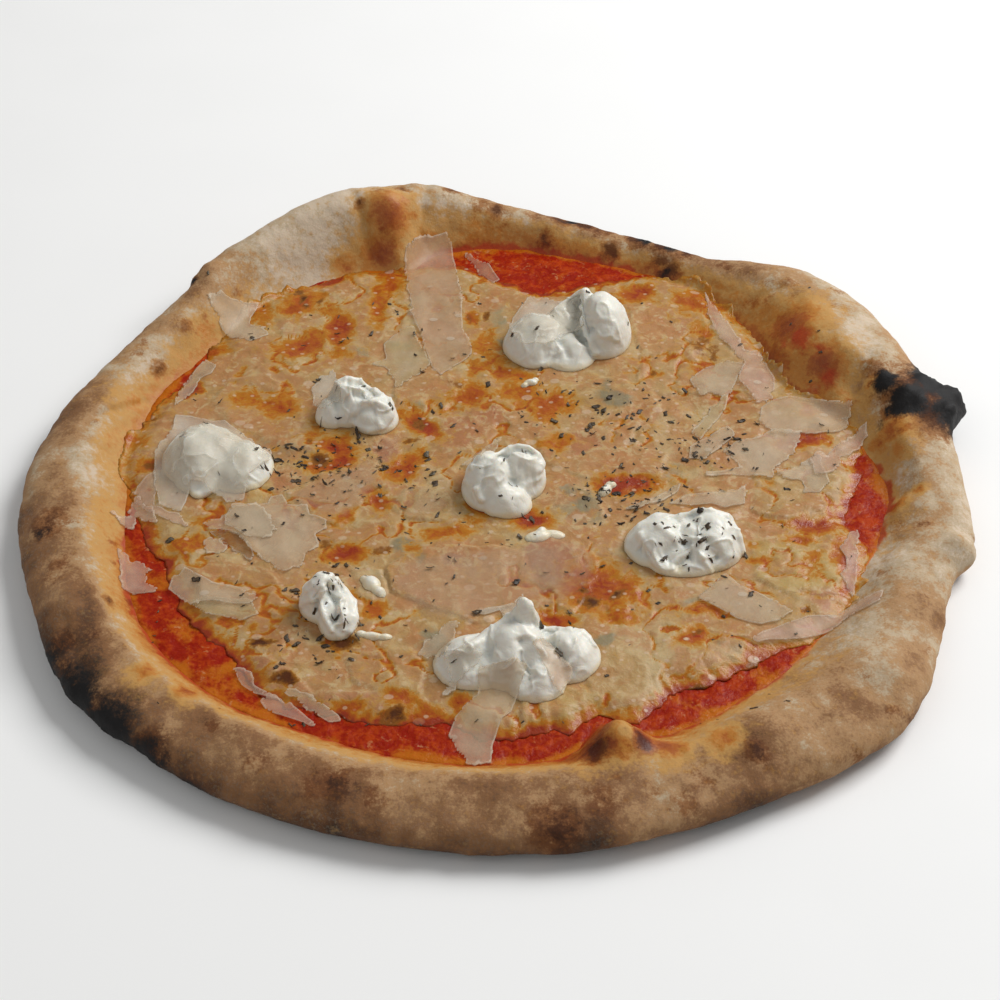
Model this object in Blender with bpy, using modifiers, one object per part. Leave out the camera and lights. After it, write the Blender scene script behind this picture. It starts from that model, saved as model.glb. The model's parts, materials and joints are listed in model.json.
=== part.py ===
"""A whole four cheese pizza from a wood-fired oven.

A thin base with a puffed, uneven rim carries tomato sauce, a sheet of melted cheese with herb
flakes, spoonfuls of soft fresh cheese and thin shavings of hard cheese.

Metres, +Z up. The pizza lies flat, and the origin is at the middle of its underside. Azimuths are
degrees, anticlockwise from +X. The nearest part of the rim is at -Y.
"""

import math
import random
from typing import NamedTuple

import bmesh
import bpy
from mathutils import Vector, noise
from mathutils.bvhtree import BVHTree

MM = 0.001

# Driving dimensions of the layers, from the underside up
BASE_THICKNESS = 3.2 * MM
GAP = 0.35 * MM
SAUCE_THICKNESS = 1.5 * MM
CHEESE_THICKNESS = 1.7 * MM
CHEESE_EDGE = 0.9 * MM
SHAVING_THICKNESS = 0.75 * MM
SAUCE_CLEARANCE = 0.9 * MM

SAUCE_BOTTOM = BASE_THICKNESS + GAP
SAUCE_TOP = SAUCE_BOTTOM + SAUCE_THICKNESS
CHEESE_BOTTOM = SAUCE_TOP + GAP
CHEESE_TOP = CHEESE_BOTTOM + CHEESE_THICKNESS

# How finely the layers are divided
STEPS_ROUND = 112
OUTER_STEPS = 8
SLOPE_STEPS = 6

# How square the rim's side is, under and over its widest line
FOOT_POWER = 0.55
SHOULDER_POWER = 0.85

# Relief on the cheese and the dough
CHEESE_RELIEF = 0.75 * MM
CHEESE_RELIEF_LENGTH = 16 * MM
DOUGH_RELIEF = 1.1 * MM
DOUGH_RELIEF_LENGTH = 30 * MM

FLAKE_COUNT = 46
FLAKE_LENGTH = 2.6 * MM
FLAKE_SEED = 4


class Station(NamedTuple):
    """The rim at one azimuth: outer radius, width and crest height in millimetres, and how far
    out the crest lies, as a share of the width."""

    azimuth: float
    outer: float
    width: float
    crest: float
    crest_at: float


RIM = (
    Station(0, 154, 27, 16, 0.50),
    Station(22, 157, 42, 21, 0.54),
    Station(33, 162, 54, 21, 0.64),
    Station(46, 164, 42, 18, 0.64),
    Station(60, 153, 19, 12, 0.60),
    Station(75, 156, 16, 12, 0.60),
    Station(90, 163, 21, 16, 0.60),
    Station(103, 171, 32, 26, 0.66),
    Station(115, 170, 33, 28, 0.70),
    Station(128, 166, 29, 23, 0.70),
    Station(142, 159, 26, 18, 0.64),
    Station(158, 159, 25, 16, 0.58),
    Station(172, 163, 31, 16, 0.52),
    Station(186, 164, 33, 16, 0.50),
    Station(200, 162, 33, 16, 0.48),
    Station(213, 164, 34, 15, 0.44),
    Station(227, 160, 34, 15, 0.44),
    Station(242, 157, 30, 14, 0.40),
    Station(260, 154, 31, 13, 0.38),
    Station(280, 154, 33, 14, 0.38),
    Station(300, 155, 36, 15, 0.42),
    Station(319, 160, 38, 16, 0.46),
    Station(332, 153, 30, 14, 0.48),
    Station(341, 150, 26, 14, 0.50),
    Station(351, 155, 25, 14, 0.50),
)


class Knob(NamedTuple):
    """A narrow swelling of the rim: azimuth and spread in degrees, reach outwards and inwards in mm."""

    azimuth: float
    spread: float
    outwards: float
    inwards: float


KNOBS = (
    Knob(14.5, 4.0, 10, 0),
    Knob(347, 2.0, 3, 0),
    Knob(133, 3.0, 2, 0),
    Knob(285, 4.5, 0, 12),
    Knob(107, 4.0, 0, 9),
)


class Blister(NamedTuple):
    """A bubble in the dough: azimuth, radius of its centre, its own radius and rise in mm."""

    azimuth: float
    at: float
    radius: float
    rise: float


BLISTERS = (
    Blister(108, 150, 11, 4.0),
    Blister(107, 132, 10, 5.0),
    Blister(285, 122, 11, 7.0),
    Blister(10, 156, 10, 4.0),
    Blister(15, 143, 9, 3.0),
    Blister(347, 150, 7, 2.5),
    Blister(34, 126, 17, 4.5),
    Blister(21, 132, 8, -4.0),
    Blister(354, 131, 10, 2.5),
    Blister(136, 158, 7, 2.5),
    Blister(66, 145, 9, 2.0),
    Blister(83, 146, 8, 2.0),
    Blister(205, 150, 14, 2.0),
    Blister(236, 143, 13, 2.0),
    Blister(262, 139, 14, 1.6),
    Blister(303, 139, 15, 2.2),
    Blister(322, 146, 14, 2.4),
)


class Setback(NamedTuple):
    """How far the cheese stops short of the rim's inner edge, round one azimuth."""

    azimuth: float
    spread: float
    distance: float


CHEESE_SETBACK = 1.5 * MM
SETBACKS = (
    Setback(84, 13, 13),
    Setback(200, 20, 9),
    Setback(222, 14, 9),
    Setback(262, 16, 8),
    Setback(284, 9, 6),
    Setback(308, 12, 8),
    Setback(357, 10, 13),
    Setback(155, 8, 4),
)


class Lobe(NamedTuple):
    """One rounded part of a spoonful: centre, half length, half depth and height in mm."""

    x: float
    y: float
    along: float
    across: float
    height: float


class Spoonful(NamedTuple):
    """Soft cheese: its centre in mm, its lobes and its peak's offset from the centre and rise in mm."""

    x: float
    y: float
    lobes: tuple[Lobe, ...]
    peak: tuple[float, float, float]


SPOONFULS = (
    Spoonful(23, 82, (Lobe(12, 79, 13, 14, 10), Lobe(34, 84, 11, 14, 15)), (8, 6, 2.5)),
    Spoonful(-52, 37, (Lobe(-55, 40, 10, 9, 12), Lobe(-47, 35, 8, 8, 9)), (-3, 5, 1.5)),
    Spoonful(-99, 10, (Lobe(-104, 12, 16, 16, 9), Lobe(-92, 8, 12, 12, 7)), (-3, 5, 0.5)),
    Spoonful(-2, -1, (Lobe(-5, -3, 11, 10, 11), Lobe(5, 2, 8, 9, 12)), (3, 5, 1.5)),
    Spoonful(58, -33, (Lobe(50, -31, 12, 11, 8), Lobe(64, -33, 14, 13, 11)), (4, 5, 1.5)),
    Spoonful(-57, -60, (Lobe(-59, -58, 8, 8, 12), Lobe(-53, -64, 6, 8, 9)), (-1, 3, 3)),
    Spoonful(
        3,
        -84,
        (Lobe(3, -81, 14, 13, 12), Lobe(17, -80, 10, 10, 9), Lobe(-10, -85, 11, 9, 8), Lobe(9, -91, 7, 6, 8)),
        (1, 8, 6),
    ),
)
SPOONFUL_SEGMENTS = 24
SPOONFUL_RINGS = 11
PEAK_SPREAD = 4.5


class Crumb(NamedTuple):
    """A small piece of soft cheese: centre, length and width in mm, and heading."""

    x: float
    y: float
    length: float
    width: float
    heading: float


CRUMBS = (
    Crumb(33, -1, 9, 4, 55),
    Crumb(12, -24, 14, 6, 5),
    Crumb(8, 57, 7, 4, -10),
    Crumb(-44, -47, 10, 7, -60),
    Crumb(-43, -70, 11, 4, -5),
)
CRUMB_HEIGHT = 2.4 * MM


class Shaving(NamedTuple):
    """A thin shaving in mm: where its middle line starts, bends and ends, its width at those
    places, and how far its ends curl upwards."""

    start: tuple[float, float]
    bend: tuple[float, float]
    end: tuple[float, float]
    widths: tuple[float, float, float]
    curl: float


# In the order they were dropped on, so that later ones lie over earlier ones
SHAVINGS = (
    Shaving((-39, -41), (-19, -40), (8, -47), (21, 29, 14), 0.2),
    Shaving((-42, -9), (-30, -5), (-16, -11), (9, 13, 6), 0.3),
    Shaving((-72, -6), (-59, 1), (-46, 5), (11, 18, 13), 0.4),
    Shaving((-48, 20), (-43, 18), (-38, 16), (8, 14, 8), 0.3),
    Shaving((5, -36), (14, -42), (24, -54), (12, 17, 9), 0.3),
    Shaving((-38, 93), (-38, 76), (-39, 57), (10, 18, 7), 1.0),
    Shaving((-31, 134), (-27, 102), (-22, 64), (15, 22, 10), 0.8),
    Shaving((-15, 132), (-10, 127), (-5, 118), (3, 8, 6), 0.5),
    Shaving((-109, 100), (-102, 94), (-92, 84), (6, 14, 13), 0.6),
    Shaving((81, 38), (97, 38), (112, 39), (13, 20, 10), 0.6),
    Shaving((68, 7), (83, 13), (102, 24), (5, 17, 8), 0.8),
    Shaving((84, 68), (73, 58), (61, 51), (4, 14, 14), 0.5),
    Shaving((78, 47), (72, 35), (67, 25), (5, 7, 3), 0.6),
    Shaving((62, 14), (70, 20), (79, 26), (3, 8, 4), 0.7),
    Shaving((88, 5), (99, 6), (107, -1), (5, 14, 9), 0.5),
    Shaving((126, 30), (117, 17), (106, 5), (4, 10, 9), 1.2),
    Shaving((74, 105), (83, 77), (92, 46), (2, 6, 11), 1.5),
    Shaving((49, -10), (63, -6), (80, -5), (3, 8, 5), 0.6),
    Shaving((40, -11), (49, -6), (60, 2), (2, 3, 5), 1.2),
    Shaving((60, -53), (74, -54), (92, -60), (6, 15, 4), 0.6),
    Shaving((72, -74), (94, -67), (118, -54), (3, 8, 3), 0.8),
    Shaving((113, -24), (110, -38), (110, -53), (2, 5, 2), 2.0),
    Shaving((-113, 14), (-113, -1), (-112, -15), (11, 12, 7), 0.6),
    Shaving((-116, 7), (-101, 11), (-83, 4), (21, 31, 14), 0.5),
    Shaving((-117, 3), (-121, -8), (-126, -18), (4, 10, 6), 0.5),
    Shaving((-100, -27), (-92, -31), (-84, -36), (5, 10, 5), 0.5),
    Shaving((-98, -20), (-80, -22), (-61, -17), (13, 23, 11), 0.9),
    Shaving((-109, -48), (-96, -50), (-80, -55), (10, 12, 4), 0.8),
    Shaving((-126, -38), (-121, -45), (-114, -51), (3, 9, 7), 0.4),
    Shaving((-83, -87), (-78, -93), (-69, -96), (4, 4, 2), 0.6),
    Shaving((-75, -97), (-66, -102), (-58, -105), (5, 6, 3), 0.6),
    Shaving((-65, -93), (-58, -99), (-50, -104), (5, 7, 3), 0.5),
    Shaving((3, 72), (12, 79), (26, 81), (13, 22, 13), 0.3),
    Shaving((-67, 43), (-64, 47), (-59, 51), (10, 16, 12), 0.3),
    Shaving((-18, 8), (-11, 12), (-3, 15), (2, 4, 3), 1.0),
    Shaving((-30, -78), (-24, -73), (-18, -66), (7, 12, 4), 1.0),
    Shaving((-24, -93), (-16, -85), (-5, -77), (7, 16, 11), 0.4),
    Shaving((-2, -81), (-5, -101), (-11, -121), (11, 14, 10), 0.3),
    Shaving((8, -78), (11, -88), (15, -99), (3, 6, 3), 0.3),
)
SHAVING_STEP = 7 * MM
SHAVING_SEED = 31

# Colours, as linear values
DOUGH_COLOUR = (0.42, 0.25, 0.13)
SAUCE_COLOUR = (0.42, 0.045, 0.012)
CHEESE_COLOUR = (0.55, 0.36, 0.17)
CREAM_COLOUR = (0.80, 0.77, 0.68)
SHAVING_COLOUR = (0.62, 0.49, 0.32)


def clear_scene():
    """Removes what the file starts with."""
    for obj in list(bpy.data.objects):
        bpy.data.objects.remove(obj)


def new_collection(name):
    """A collection in the scene."""
    made = bpy.data.collections.new(name)
    bpy.context.scene.collection.children.link(made)
    return made


def finish(name, colour, roughness):
    """A plain food material."""
    made = bpy.data.materials.new(name)
    made.use_nodes = True
    shader = made.node_tree.nodes["Principled BSDF"]
    shader.inputs["Base Color"].default_value = (*colour, 1)
    shader.inputs["Roughness"].default_value = roughness
    shader.inputs["Metallic"].default_value = 0
    return made


def add_mesh(name, shape, material, collection):
    """An object from a bmesh, smooth shaded but for its sharp edges."""
    mesh = bpy.data.meshes.new(name)
    shape.to_mesh(mesh)
    shape.free()
    mesh.shade_smooth()
    mesh.set_sharp_from_angle(angle=math.radians(50))
    mesh.materials.append(material)
    made = bpy.data.objects.new(name, mesh)
    collection.objects.link(made)
    return made


# ---------------------------------------------------------------- the rim's form


def rim_at(azimuth):
    """(outer radius, width, crest height, crest's distance from the inner edge) in metres, by a
    smooth closed curve through the stations."""
    azimuth %= 360
    count = len(RIM)
    last = max(i for i in range(count) if RIM[i].azimuth <= azimuth)
    four = []
    for step in (-1, 0, 1, 2):
        index = last + step
        turn = 360 * (index // count)
        four.append((RIM[index % count].azimuth + turn, RIM[index % count]))
    (before, a), (start, b), (end, c), (after, d) = four
    t = (azimuth - start) / (end - start)
    found = []
    for column in (1, 2, 3, 4):
        slope_b = (c[column] - a[column]) / (end - before) * (end - start)
        slope_c = (d[column] - b[column]) / (after - start) * (end - start)
        value = (
            (2 * t**3 - 3 * t**2 + 1) * b[column]
            + (t**3 - 2 * t**2 + t) * slope_b
            + (3 * t**2 - 2 * t**3) * c[column]
            + (t**3 - t**2) * slope_c
        )
        found.append(value)
    outer, width, crest, share = found
    for knob in KNOBS:
        away = (azimuth - knob.azimuth + 180) % 360 - 180
        swell = math.exp(-((away / knob.spread) ** 2))
        outer += knob.outwards * swell
        width += (knob.outwards + knob.inwards) * swell
    return outer * MM, width * MM, crest * MM, share * width * MM


def inner_edge(azimuth):
    """The radius where the rim's inner slope meets the base."""
    outer, width, _, _ = rim_at(azimuth)
    return outer - width


def slope_radius(azimuth, height):
    """The radius at which the rim's inner slope has risen to a height."""
    slope = rim_section(azimuth)[-SLOPE_STEPS - 2 : -1]
    for (outer, upper), (inner, lower) in zip(slope, slope[1:]):
        if lower <= height <= upper:
            return inner + (outer - inner) * (height - lower) / (upper - lower)
    return slope[-1][0]


def rim_section(azimuth):
    """(radius, height) points of the dough's section, from the middle of the underside round to
    the middle of the base's upper face."""
    outer, width, crest, climb = rim_at(azimuth)
    inner = outer - width
    centre = inner + climb
    reach = outer - centre
    points = [(0.0, 0.0)]
    for step in range(OUTER_STEPS + 1):
        turn = math.pi * (step / OUTER_STEPS - 0.5)
        power = FOOT_POWER if turn < 0 else SHOULDER_POWER
        radius = centre + reach * max(0.0, math.cos(turn)) ** power
        points.append((radius, crest * (0.5 + 0.5 * math.sin(turn))))
    for step in range(1, SLOPE_STEPS + 1):
        share = 1 - step / SLOPE_STEPS
        rise = 0.5 - 0.5 * math.cos(math.pi * share)
        height = BASE_THICKNESS + (crest - BASE_THICKNESS) * rise
        points.append((inner + climb * share, height))
    points.append((0.0, BASE_THICKNESS))
    return points


def spun(section_at, steps):
    """A closed body whose section changes with the azimuth. A flat section is spun round, and
    each copy of it is then set to the section at its own azimuth."""
    shape = bmesh.new()
    profile = section_at(0)
    points = [shape.verts.new((radius, 0, height)) for radius, height in profile]
    edges = [shape.edges.new(pair) for pair in zip(points, points[1:])]
    bmesh.ops.spin(
        shape,
        geom=points + edges,
        cent=(0, 0, 0),
        axis=(0, 0, 1),
        angle=2 * math.pi,
        steps=steps,
        use_merge=True,
    )
    shape.verts.index_update()
    count = len(profile)
    for index, vert in enumerate(shape.verts):
        step, place = divmod(index, count)
        azimuth = 360 * step / steps
        radius, height = section_at(azimuth)[place]
        turn = math.radians(azimuth)
        vert.co = (radius * math.cos(turn), radius * math.sin(turn), height)
    bmesh.ops.remove_doubles(shape, verts=shape.verts, dist=0.02 * MM)
    bmesh.ops.triangulate(shape, faces=shape.faces)
    bmesh.ops.recalc_face_normals(shape, faces=shape.faces)
    return shape


def blister_rise(x, y):
    """How far the dough's bubbles lift its upper side at a point."""
    rise = 0.0
    for blister in BLISTERS:
        turn = math.radians(blister.azimuth)
        away = math.hypot(
            x - blister.at * MM * math.cos(turn),
            y - blister.at * MM * math.sin(turn),
        )
        share = away / (blister.radius * MM)
        rise += blister.rise * MM * math.exp(-2 * share * share)
    return rise


def make_dough(material, collection):
    """The base and its puffed rim, in one piece, flat underneath."""
    shape = spun(rim_section, STEPS_ROUND)
    for vert in shape.verts:
        x, y, z = vert.co
        azimuth = math.degrees(math.atan2(y, x))
        rim = rim_at(azimuth)
        inner = slope_radius(azimuth, CHEESE_TOP + GAP)
        radius = math.hypot(x, y)
        if z < BASE_THICKNESS or radius < inner:
            continue
        share = min(1.0, (radius - inner) / (0.2 * rim[1]))
        lumps = noise.noise(vert.co / DOUGH_RELIEF_LENGTH) * DOUGH_RELIEF
        vert.co.z += share * (blister_rise(x, y) + lumps)
    return add_mesh("dough", shape, material, collection)


# ---------------------------------------------------------------- sauce and melted cheese


def sauce_section(azimuth):
    """The sauce's section: a thin disc whose side follows the rim's inner slope."""
    foot = slope_radius(azimuth, SAUCE_BOTTOM) - SAUCE_CLEARANCE
    lip = slope_radius(azimuth, SAUCE_TOP) - SAUCE_CLEARANCE
    under_cheese = cheese_edge(azimuth) - 4 * MM
    return [
        (0.0, SAUCE_BOTTOM),
        (foot, SAUCE_BOTTOM),
        (lip, SAUCE_TOP),
        (under_cheese, SAUCE_TOP),
        (0.0, SAUCE_TOP),
    ]


def make_sauce(material, collection):
    """Tomato sauce over the whole base, which shows as a broken ring round the cheese."""
    return add_mesh("tomato_sauce", spun(sauce_section, STEPS_ROUND), material, collection)


def cheese_edge(azimuth):
    """The melted cheese's radius at an azimuth."""
    short = CHEESE_SETBACK
    for setback in SETBACKS:
        away = (azimuth - setback.azimuth + 180) % 360 - 180
        short += setback.distance * MM * math.exp(-((away / setback.spread) ** 2))
    turn = math.radians(azimuth)
    ripple = noise.noise((4 * math.cos(turn), 4 * math.sin(turn), 1.7))
    return inner_edge(azimuth) - short + 3.5 * MM * ripple


def cheese_section(azimuth):
    """The cheese's section, thin at its edge."""
    edge = cheese_edge(azimuth)
    shares = (0.96, 0.86, 0.74, 0.60, 0.44, 0.24)
    top = [(edge * share, CHEESE_TOP) for share in shares]
    return [
        (0.0, CHEESE_BOTTOM),
        (0.97 * edge, CHEESE_BOTTOM),
        (edge, CHEESE_BOTTOM + 0.4 * CHEESE_EDGE),
        (0.985 * edge, CHEESE_BOTTOM + CHEESE_EDGE),
        *top,
        (0.0, CHEESE_TOP),
    ]


def on_topping(x, y, margin):
    """True where a spoonful, a crumb or a shaving lies within a margin of a point."""
    ovals = [(lobe.x, lobe.y, lobe.along, lobe.across) for one in SPOONFULS for lobe in one.lobes]
    ovals += [(crumb.x, crumb.y, crumb.length / 2, crumb.length / 2) for crumb in CRUMBS]
    for shaving in SHAVINGS:
        for step in range(9):
            along = step / 4 - 1
            px, py, half = shaving_line(shaving, along)
            ovals.append((px, py, half, half))
    return any(
        ((x - px * MM) / (long * MM + margin)) ** 2 + ((y - py * MM) / (wide * MM + margin)) ** 2 < 1
        for px, py, long, wide in ovals
    )


def add_flakes(cheese, material, collection):
    """Fuses the largest herb flakes to the cheese, spread evenly by a seeded draw, clear of the toppings."""
    draw = random.Random(FLAKE_SEED)
    top = BVHTree.FromObject(cheese, bpy.context.evaluated_depsgraph_get())
    placed = []
    flakes = new_collection("flakes")
    while len(placed) < FLAKE_COUNT:
        azimuth = draw.uniform(0, 360)
        radius = math.sqrt(draw.random()) * (cheese_edge(azimuth) - 6 * MM)
        x = radius * math.cos(math.radians(azimuth))
        y = radius * math.sin(math.radians(azimuth))
        spaced = all(math.hypot(x - a, y - b) > 7 * MM for a, b in placed)
        if not spaced or on_topping(x, y, 5 * MM):
            continue
        placed.append((x, y))
        height = top.ray_cast(Vector((x, y, 1)), Vector((0, 0, -1)))[0].z
        shape = bmesh.new()
        bmesh.ops.create_icosphere(shape, subdivisions=1, radius=0.5)
        length = FLAKE_LENGTH * draw.uniform(0.7, 1.4)
        heading = draw.uniform(0, math.pi)
        for vert in shape.verts:
            along = vert.co.x * length
            across = vert.co.y * length * 0.5
            vert.co = (
                x + along * math.cos(heading) - across * math.sin(heading),
                y + along * math.sin(heading) + across * math.cos(heading),
                height + (vert.co.z + 0.15) * 1.1 * MM,
            )
        add_mesh(f"flake_{len(placed)}", shape, material, flakes)
    join_all(cheese, flakes)


def join_all(body, pieces):
    """One Boolean union of a body with a collection, applied, after which the pieces are removed."""
    union = body.modifiers.new("Join", "BOOLEAN")
    union.operation = "UNION"
    union.operand_type = "COLLECTION"
    union.collection = pieces
    union.solver = "MANIFOLD"
    graph = bpy.context.evaluated_depsgraph_get()
    joined = bpy.data.meshes.new_from_object(body.evaluated_get(graph))
    body.modifiers.clear()
    body.data = joined
    for piece in list(pieces.objects):
        bpy.data.objects.remove(piece)
    bpy.data.collections.remove(pieces)


def make_cheese(material, collection):
    """The sheet of melted cheese, with soft bumps and herb flakes."""
    shape = spun(cheese_section, STEPS_ROUND)
    for vert in shape.verts:
        if vert.co.z < CHEESE_TOP - 0.1 * MM:
            continue
        bump = noise.noise(vert.co / CHEESE_RELIEF_LENGTH + Vector((3, 5, 8)))
        vert.co.z += CHEESE_RELIEF * (bump + 0.25)
    cheese = add_mesh("melted_cheese", shape, material, collection)
    add_flakes(cheese, material, collection)
    return cheese


# ---------------------------------------------------------------- what lies on the cheese


class Pile:
    """What a new piece comes to rest on: the surfaces of everything laid before it."""

    def __init__(self):
        self.trees = []

    def add(self, obj):
        """Adds an object's finished surface."""
        self.trees.append(self.tree_of(obj))

    @staticmethod
    def tree_of(obj):
        """The search tree of an object as its modifiers leave it."""
        bpy.context.view_layer.update()
        return BVHTree.FromObject(obj, bpy.context.evaluated_depsgraph_get())

    def height(self, x, y, reach=0.0):
        """The highest surface at a point, or within reach of it."""
        found = BASE_THICKNESS
        places = [(0.0, 0.0)]
        if reach:
            places += [
                (reach * math.cos(k * math.pi / 3), reach * math.sin(k * math.pi / 3))
                for k in range(6)
            ]
        for dx, dy in places:
            for tree in self.trees:
                hit = tree.ray_cast(Vector((x + dx, y + dy, 1)), Vector((0, 0, -1)))[0]
                if hit is not None:
                    found = max(found, hit.z)
        return found

    def touched_by(self, obj):
        """True if an object's surface crosses anything in the pile."""
        mine = self.tree_of(obj)
        return any(mine.overlap(tree) for tree in self.trees)

    def lay(self, obj, step=0.15 * MM, tries=60):
        """Lifts an object by small steps until it crosses nothing, then adds it to the pile."""
        for _ in range(tries):
            if not self.touched_by(obj):
                break
            for vert in obj.data.vertices:
                vert.co.z += step
        self.add(obj)


def spoonful_height(spoonful, x, y):
    """The height in mm of a spoonful over its foot at a point in mm. Below nought is outside."""
    total, outside = 0.0, -1.0
    for lobe in spoonful.lobes:
        away = ((x - lobe.x) / lobe.along) ** 2 + ((y - lobe.y) / lobe.across) ** 2
        outside = max(outside, 1 - away)
        total += (lobe.height * max(0.0, 1 - away) ** 0.6) ** 3
    if outside <= 0:
        return outside
    right, back, rise = spoonful.peak
    away = math.hypot(x - spoonful.x - right, y - spoonful.y - back) / PEAK_SPREAD
    return total ** (1 / 3) + rise * math.exp(-away * away)


def spoonful_reach(spoonful, azimuth):
    """How far in mm a spoonful's edge lies from its centre at an azimuth in radians."""
    reach = 40.0
    while reach > 1:
        x = spoonful.x + reach * math.cos(azimuth)
        y = spoonful.y + reach * math.sin(azimuth)
        if spoonful_height(spoonful, x, y) > 0:
            break
        reach -= 0.25
    return reach


def make_spoonful(number, spoonful, pile, material, collection):
    """A spoonful of soft cheese, its foot following the cheese under it."""
    shape = bmesh.new()
    bmesh.ops.create_uvsphere(
        shape,
        u_segments=SPOONFUL_SEGMENTS,
        v_segments=SPOONFUL_RINGS,
        radius=1,
    )
    for vert in shape.verts:
        x, y, z = vert.co
        azimuth = math.atan2(y, x)
        share = min(1.0, math.hypot(x, y)) ** 0.9
        reach = spoonful_reach(spoonful, azimuth) * share
        px = spoonful.x + reach * math.cos(azimuth)
        py = spoonful.y + reach * math.sin(azimuth)
        foot = pile.height(px * MM, py * MM, 1.5 * MM) + GAP
        vert.co = (px * MM, py * MM, foot)
        if z > -0.01:
            rise = max(0.8, spoonful_height(spoonful, px, py))
            vert.co.z = foot + rise * MM
    bmesh.ops.triangulate(shape, faces=shape.faces)
    bmesh.ops.recalc_face_normals(shape, faces=shape.faces)
    made = add_mesh(f"soft_cheese_{number}", shape, material, collection)
    pile.lay(made)
    return made


def make_crumb(number, crumb, pile, material, collection):
    """A small flattened scrap of soft cheese."""
    shape = bmesh.new()
    bmesh.ops.create_icosphere(shape, subdivisions=2, radius=0.5)
    heading = math.radians(crumb.heading)
    for vert in shape.verts:
        x, y, z = vert.co
        rough = 1 + 0.5 * noise.noise(Vector((2 * x, 2 * y, 2 * z + 3 * number)))
        along, across = x * crumb.length * MM * rough, y * crumb.width * MM * rough
        px = crumb.x * MM + along * math.cos(heading) - across * math.sin(heading)
        py = crumb.y * MM + along * math.sin(heading) + across * math.cos(heading)
        foot = pile.height(px, py, 1 * MM) + GAP
        vert.co = (px, py, foot + max(0.0, z + 0.1) * 1.6 * CRUMB_HEIGHT)
    bmesh.ops.dissolve_degenerate(shape, edges=shape.edges, dist=0.01 * MM)
    bmesh.ops.recalc_face_normals(shape, faces=shape.faces)
    made = add_mesh(f"crumb_{number}", shape, material, collection)
    pile.lay(made)
    return made


def shaving_line(shaving, along):
    """The point of a shaving's middle line, and its half width there, in mm. Along runs from -1 to 1."""
    first, second = 0.5 * along * (along - 1), 0.5 * along * (along + 1)
    middle = 1 - along * along
    x, y = (
        first * shaving.start[axis] + middle * shaving.bend[axis] + second * shaving.end[axis]
        for axis in (0, 1)
    )
    start, widest, end = shaving.widths
    if along < 0:
        width = widest + (start - widest) * along * along
    else:
        width = widest + (end - widest) * along * along
    return x, y, 0.5 * width


def make_shaving(number, shaving, pile, material, collection):
    """A thin ragged shaving that bends over what it lies on. Its sheet is given its thickness by
    a Solidify modifier, so both faces are divided alike."""
    draw = random.Random(SHAVING_SEED + number)
    length = math.dist(shaving.start, shaving.bend) + math.dist(shaving.bend, shaving.end)
    columns = max(3, min(8, round(length * MM / SHAVING_STEP)))
    shape = bmesh.new()
    bmesh.ops.create_grid(shape, x_segments=columns, y_segments=2, size=1)
    for vert in shape.verts:
        u, v, _ = vert.co
        x, y, half = shaving_line(shaving, u)
        back = shaving_line(shaving, u - 0.05)
        ahead = shaving_line(shaving, u + 0.05)
        turn = math.atan2(ahead[1] - back[1], ahead[0] - back[0])
        ragged = 1 + draw.uniform(-0.22, 0.12) * abs(v)
        across = v * half * ragged
        nudge = draw.uniform(-0.9, 0.9) * (abs(u) > 0.99) * (abs(v) < 0.5)
        px = x - across * math.sin(turn) + nudge * math.cos(turn)
        py = y + across * math.cos(turn) + nudge * math.sin(turn)
        vert.co = (px * MM, py * MM, shaving.curl * MM * (u * u + 0.4 * v * v))
    drape(shape, pile)
    bmesh.ops.triangulate(shape, faces=shape.faces)
    made = add_mesh(f"shaving_{number:02d}", shape, material, collection)
    thick = made.modifiers.new("Thickness", "SOLIDIFY")
    thick.thickness = SHAVING_THICKNESS
    thick.offset = 1
    pile.lay(made)
    return made


def drape(shape, pile, rounds=6, stiffness=0.6):
    """Lets a flat sheet sink onto the pile. It is stiff, so it bridges small hollows."""
    lifts = {vert: vert.co.z for vert in shape.verts}
    floors = {
        vert: pile.height(vert.co.x, vert.co.y, 2.0 * MM) + GAP for vert in shape.verts
    }
    heights = dict(floors)
    for _ in range(rounds):
        for vert in shape.verts:
            near = [edge.other_vert(vert) for edge in vert.link_edges]
            mean = sum(heights[other] for other in near) / len(near)
            eased = heights[vert] + stiffness * (mean - heights[vert])
            heights[vert] = max(floors[vert], eased)
    for vert in shape.verts:
        vert.co.z = heights[vert] + lifts[vert]
    bmesh.ops.recalc_face_normals(shape, faces=shape.faces)
    if sum(face.normal.z for face in shape.faces) < 0:
        bmesh.ops.reverse_faces(shape, faces=shape.faces)


def centre_on_origin(collection, body):
    """Moves every piece by the same amount, so that one body's box is centred over the origin."""
    places = [vert.co for vert in body.data.vertices]
    middle = Vector(
        (
            0.5 * (min(co.x for co in places) + max(co.x for co in places)),
            0.5 * (min(co.y for co in places) + max(co.y for co in places)),
            0,
        )
    )
    for piece in collection.objects:
        for vert in piece.data.vertices:
            vert.co -= middle


def main():
    """Builds the pizza from the base up."""
    clear_scene()
    pizza = new_collection("four_cheese_pizza")
    dough = make_dough(finish("dough", DOUGH_COLOUR, 0.8), pizza)
    sauce = make_sauce(finish("tomato_sauce", SAUCE_COLOUR, 0.25), pizza)
    cheese = make_cheese(finish("melted_cheese", CHEESE_COLOUR, 0.3), pizza)
    pile = Pile()
    for layer in (dough, sauce, cheese):
        pile.add(layer)
    cream = finish("soft_cheese", CREAM_COLOUR, 0.35)
    for number, spoonful in enumerate(SPOONFULS, 1):
        make_spoonful(number, spoonful, pile, cream, pizza)
    for number, crumb in enumerate(CRUMBS, 1):
        make_crumb(number, crumb, pile, cream, pizza)
    hard = finish("hard_cheese", SHAVING_COLOUR, 0.35)
    for number, shaving in enumerate(SHAVINGS, 1):
        make_shaving(number, shaving, pile, hard, pizza)
    centre_on_origin(pizza, dough)


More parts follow.
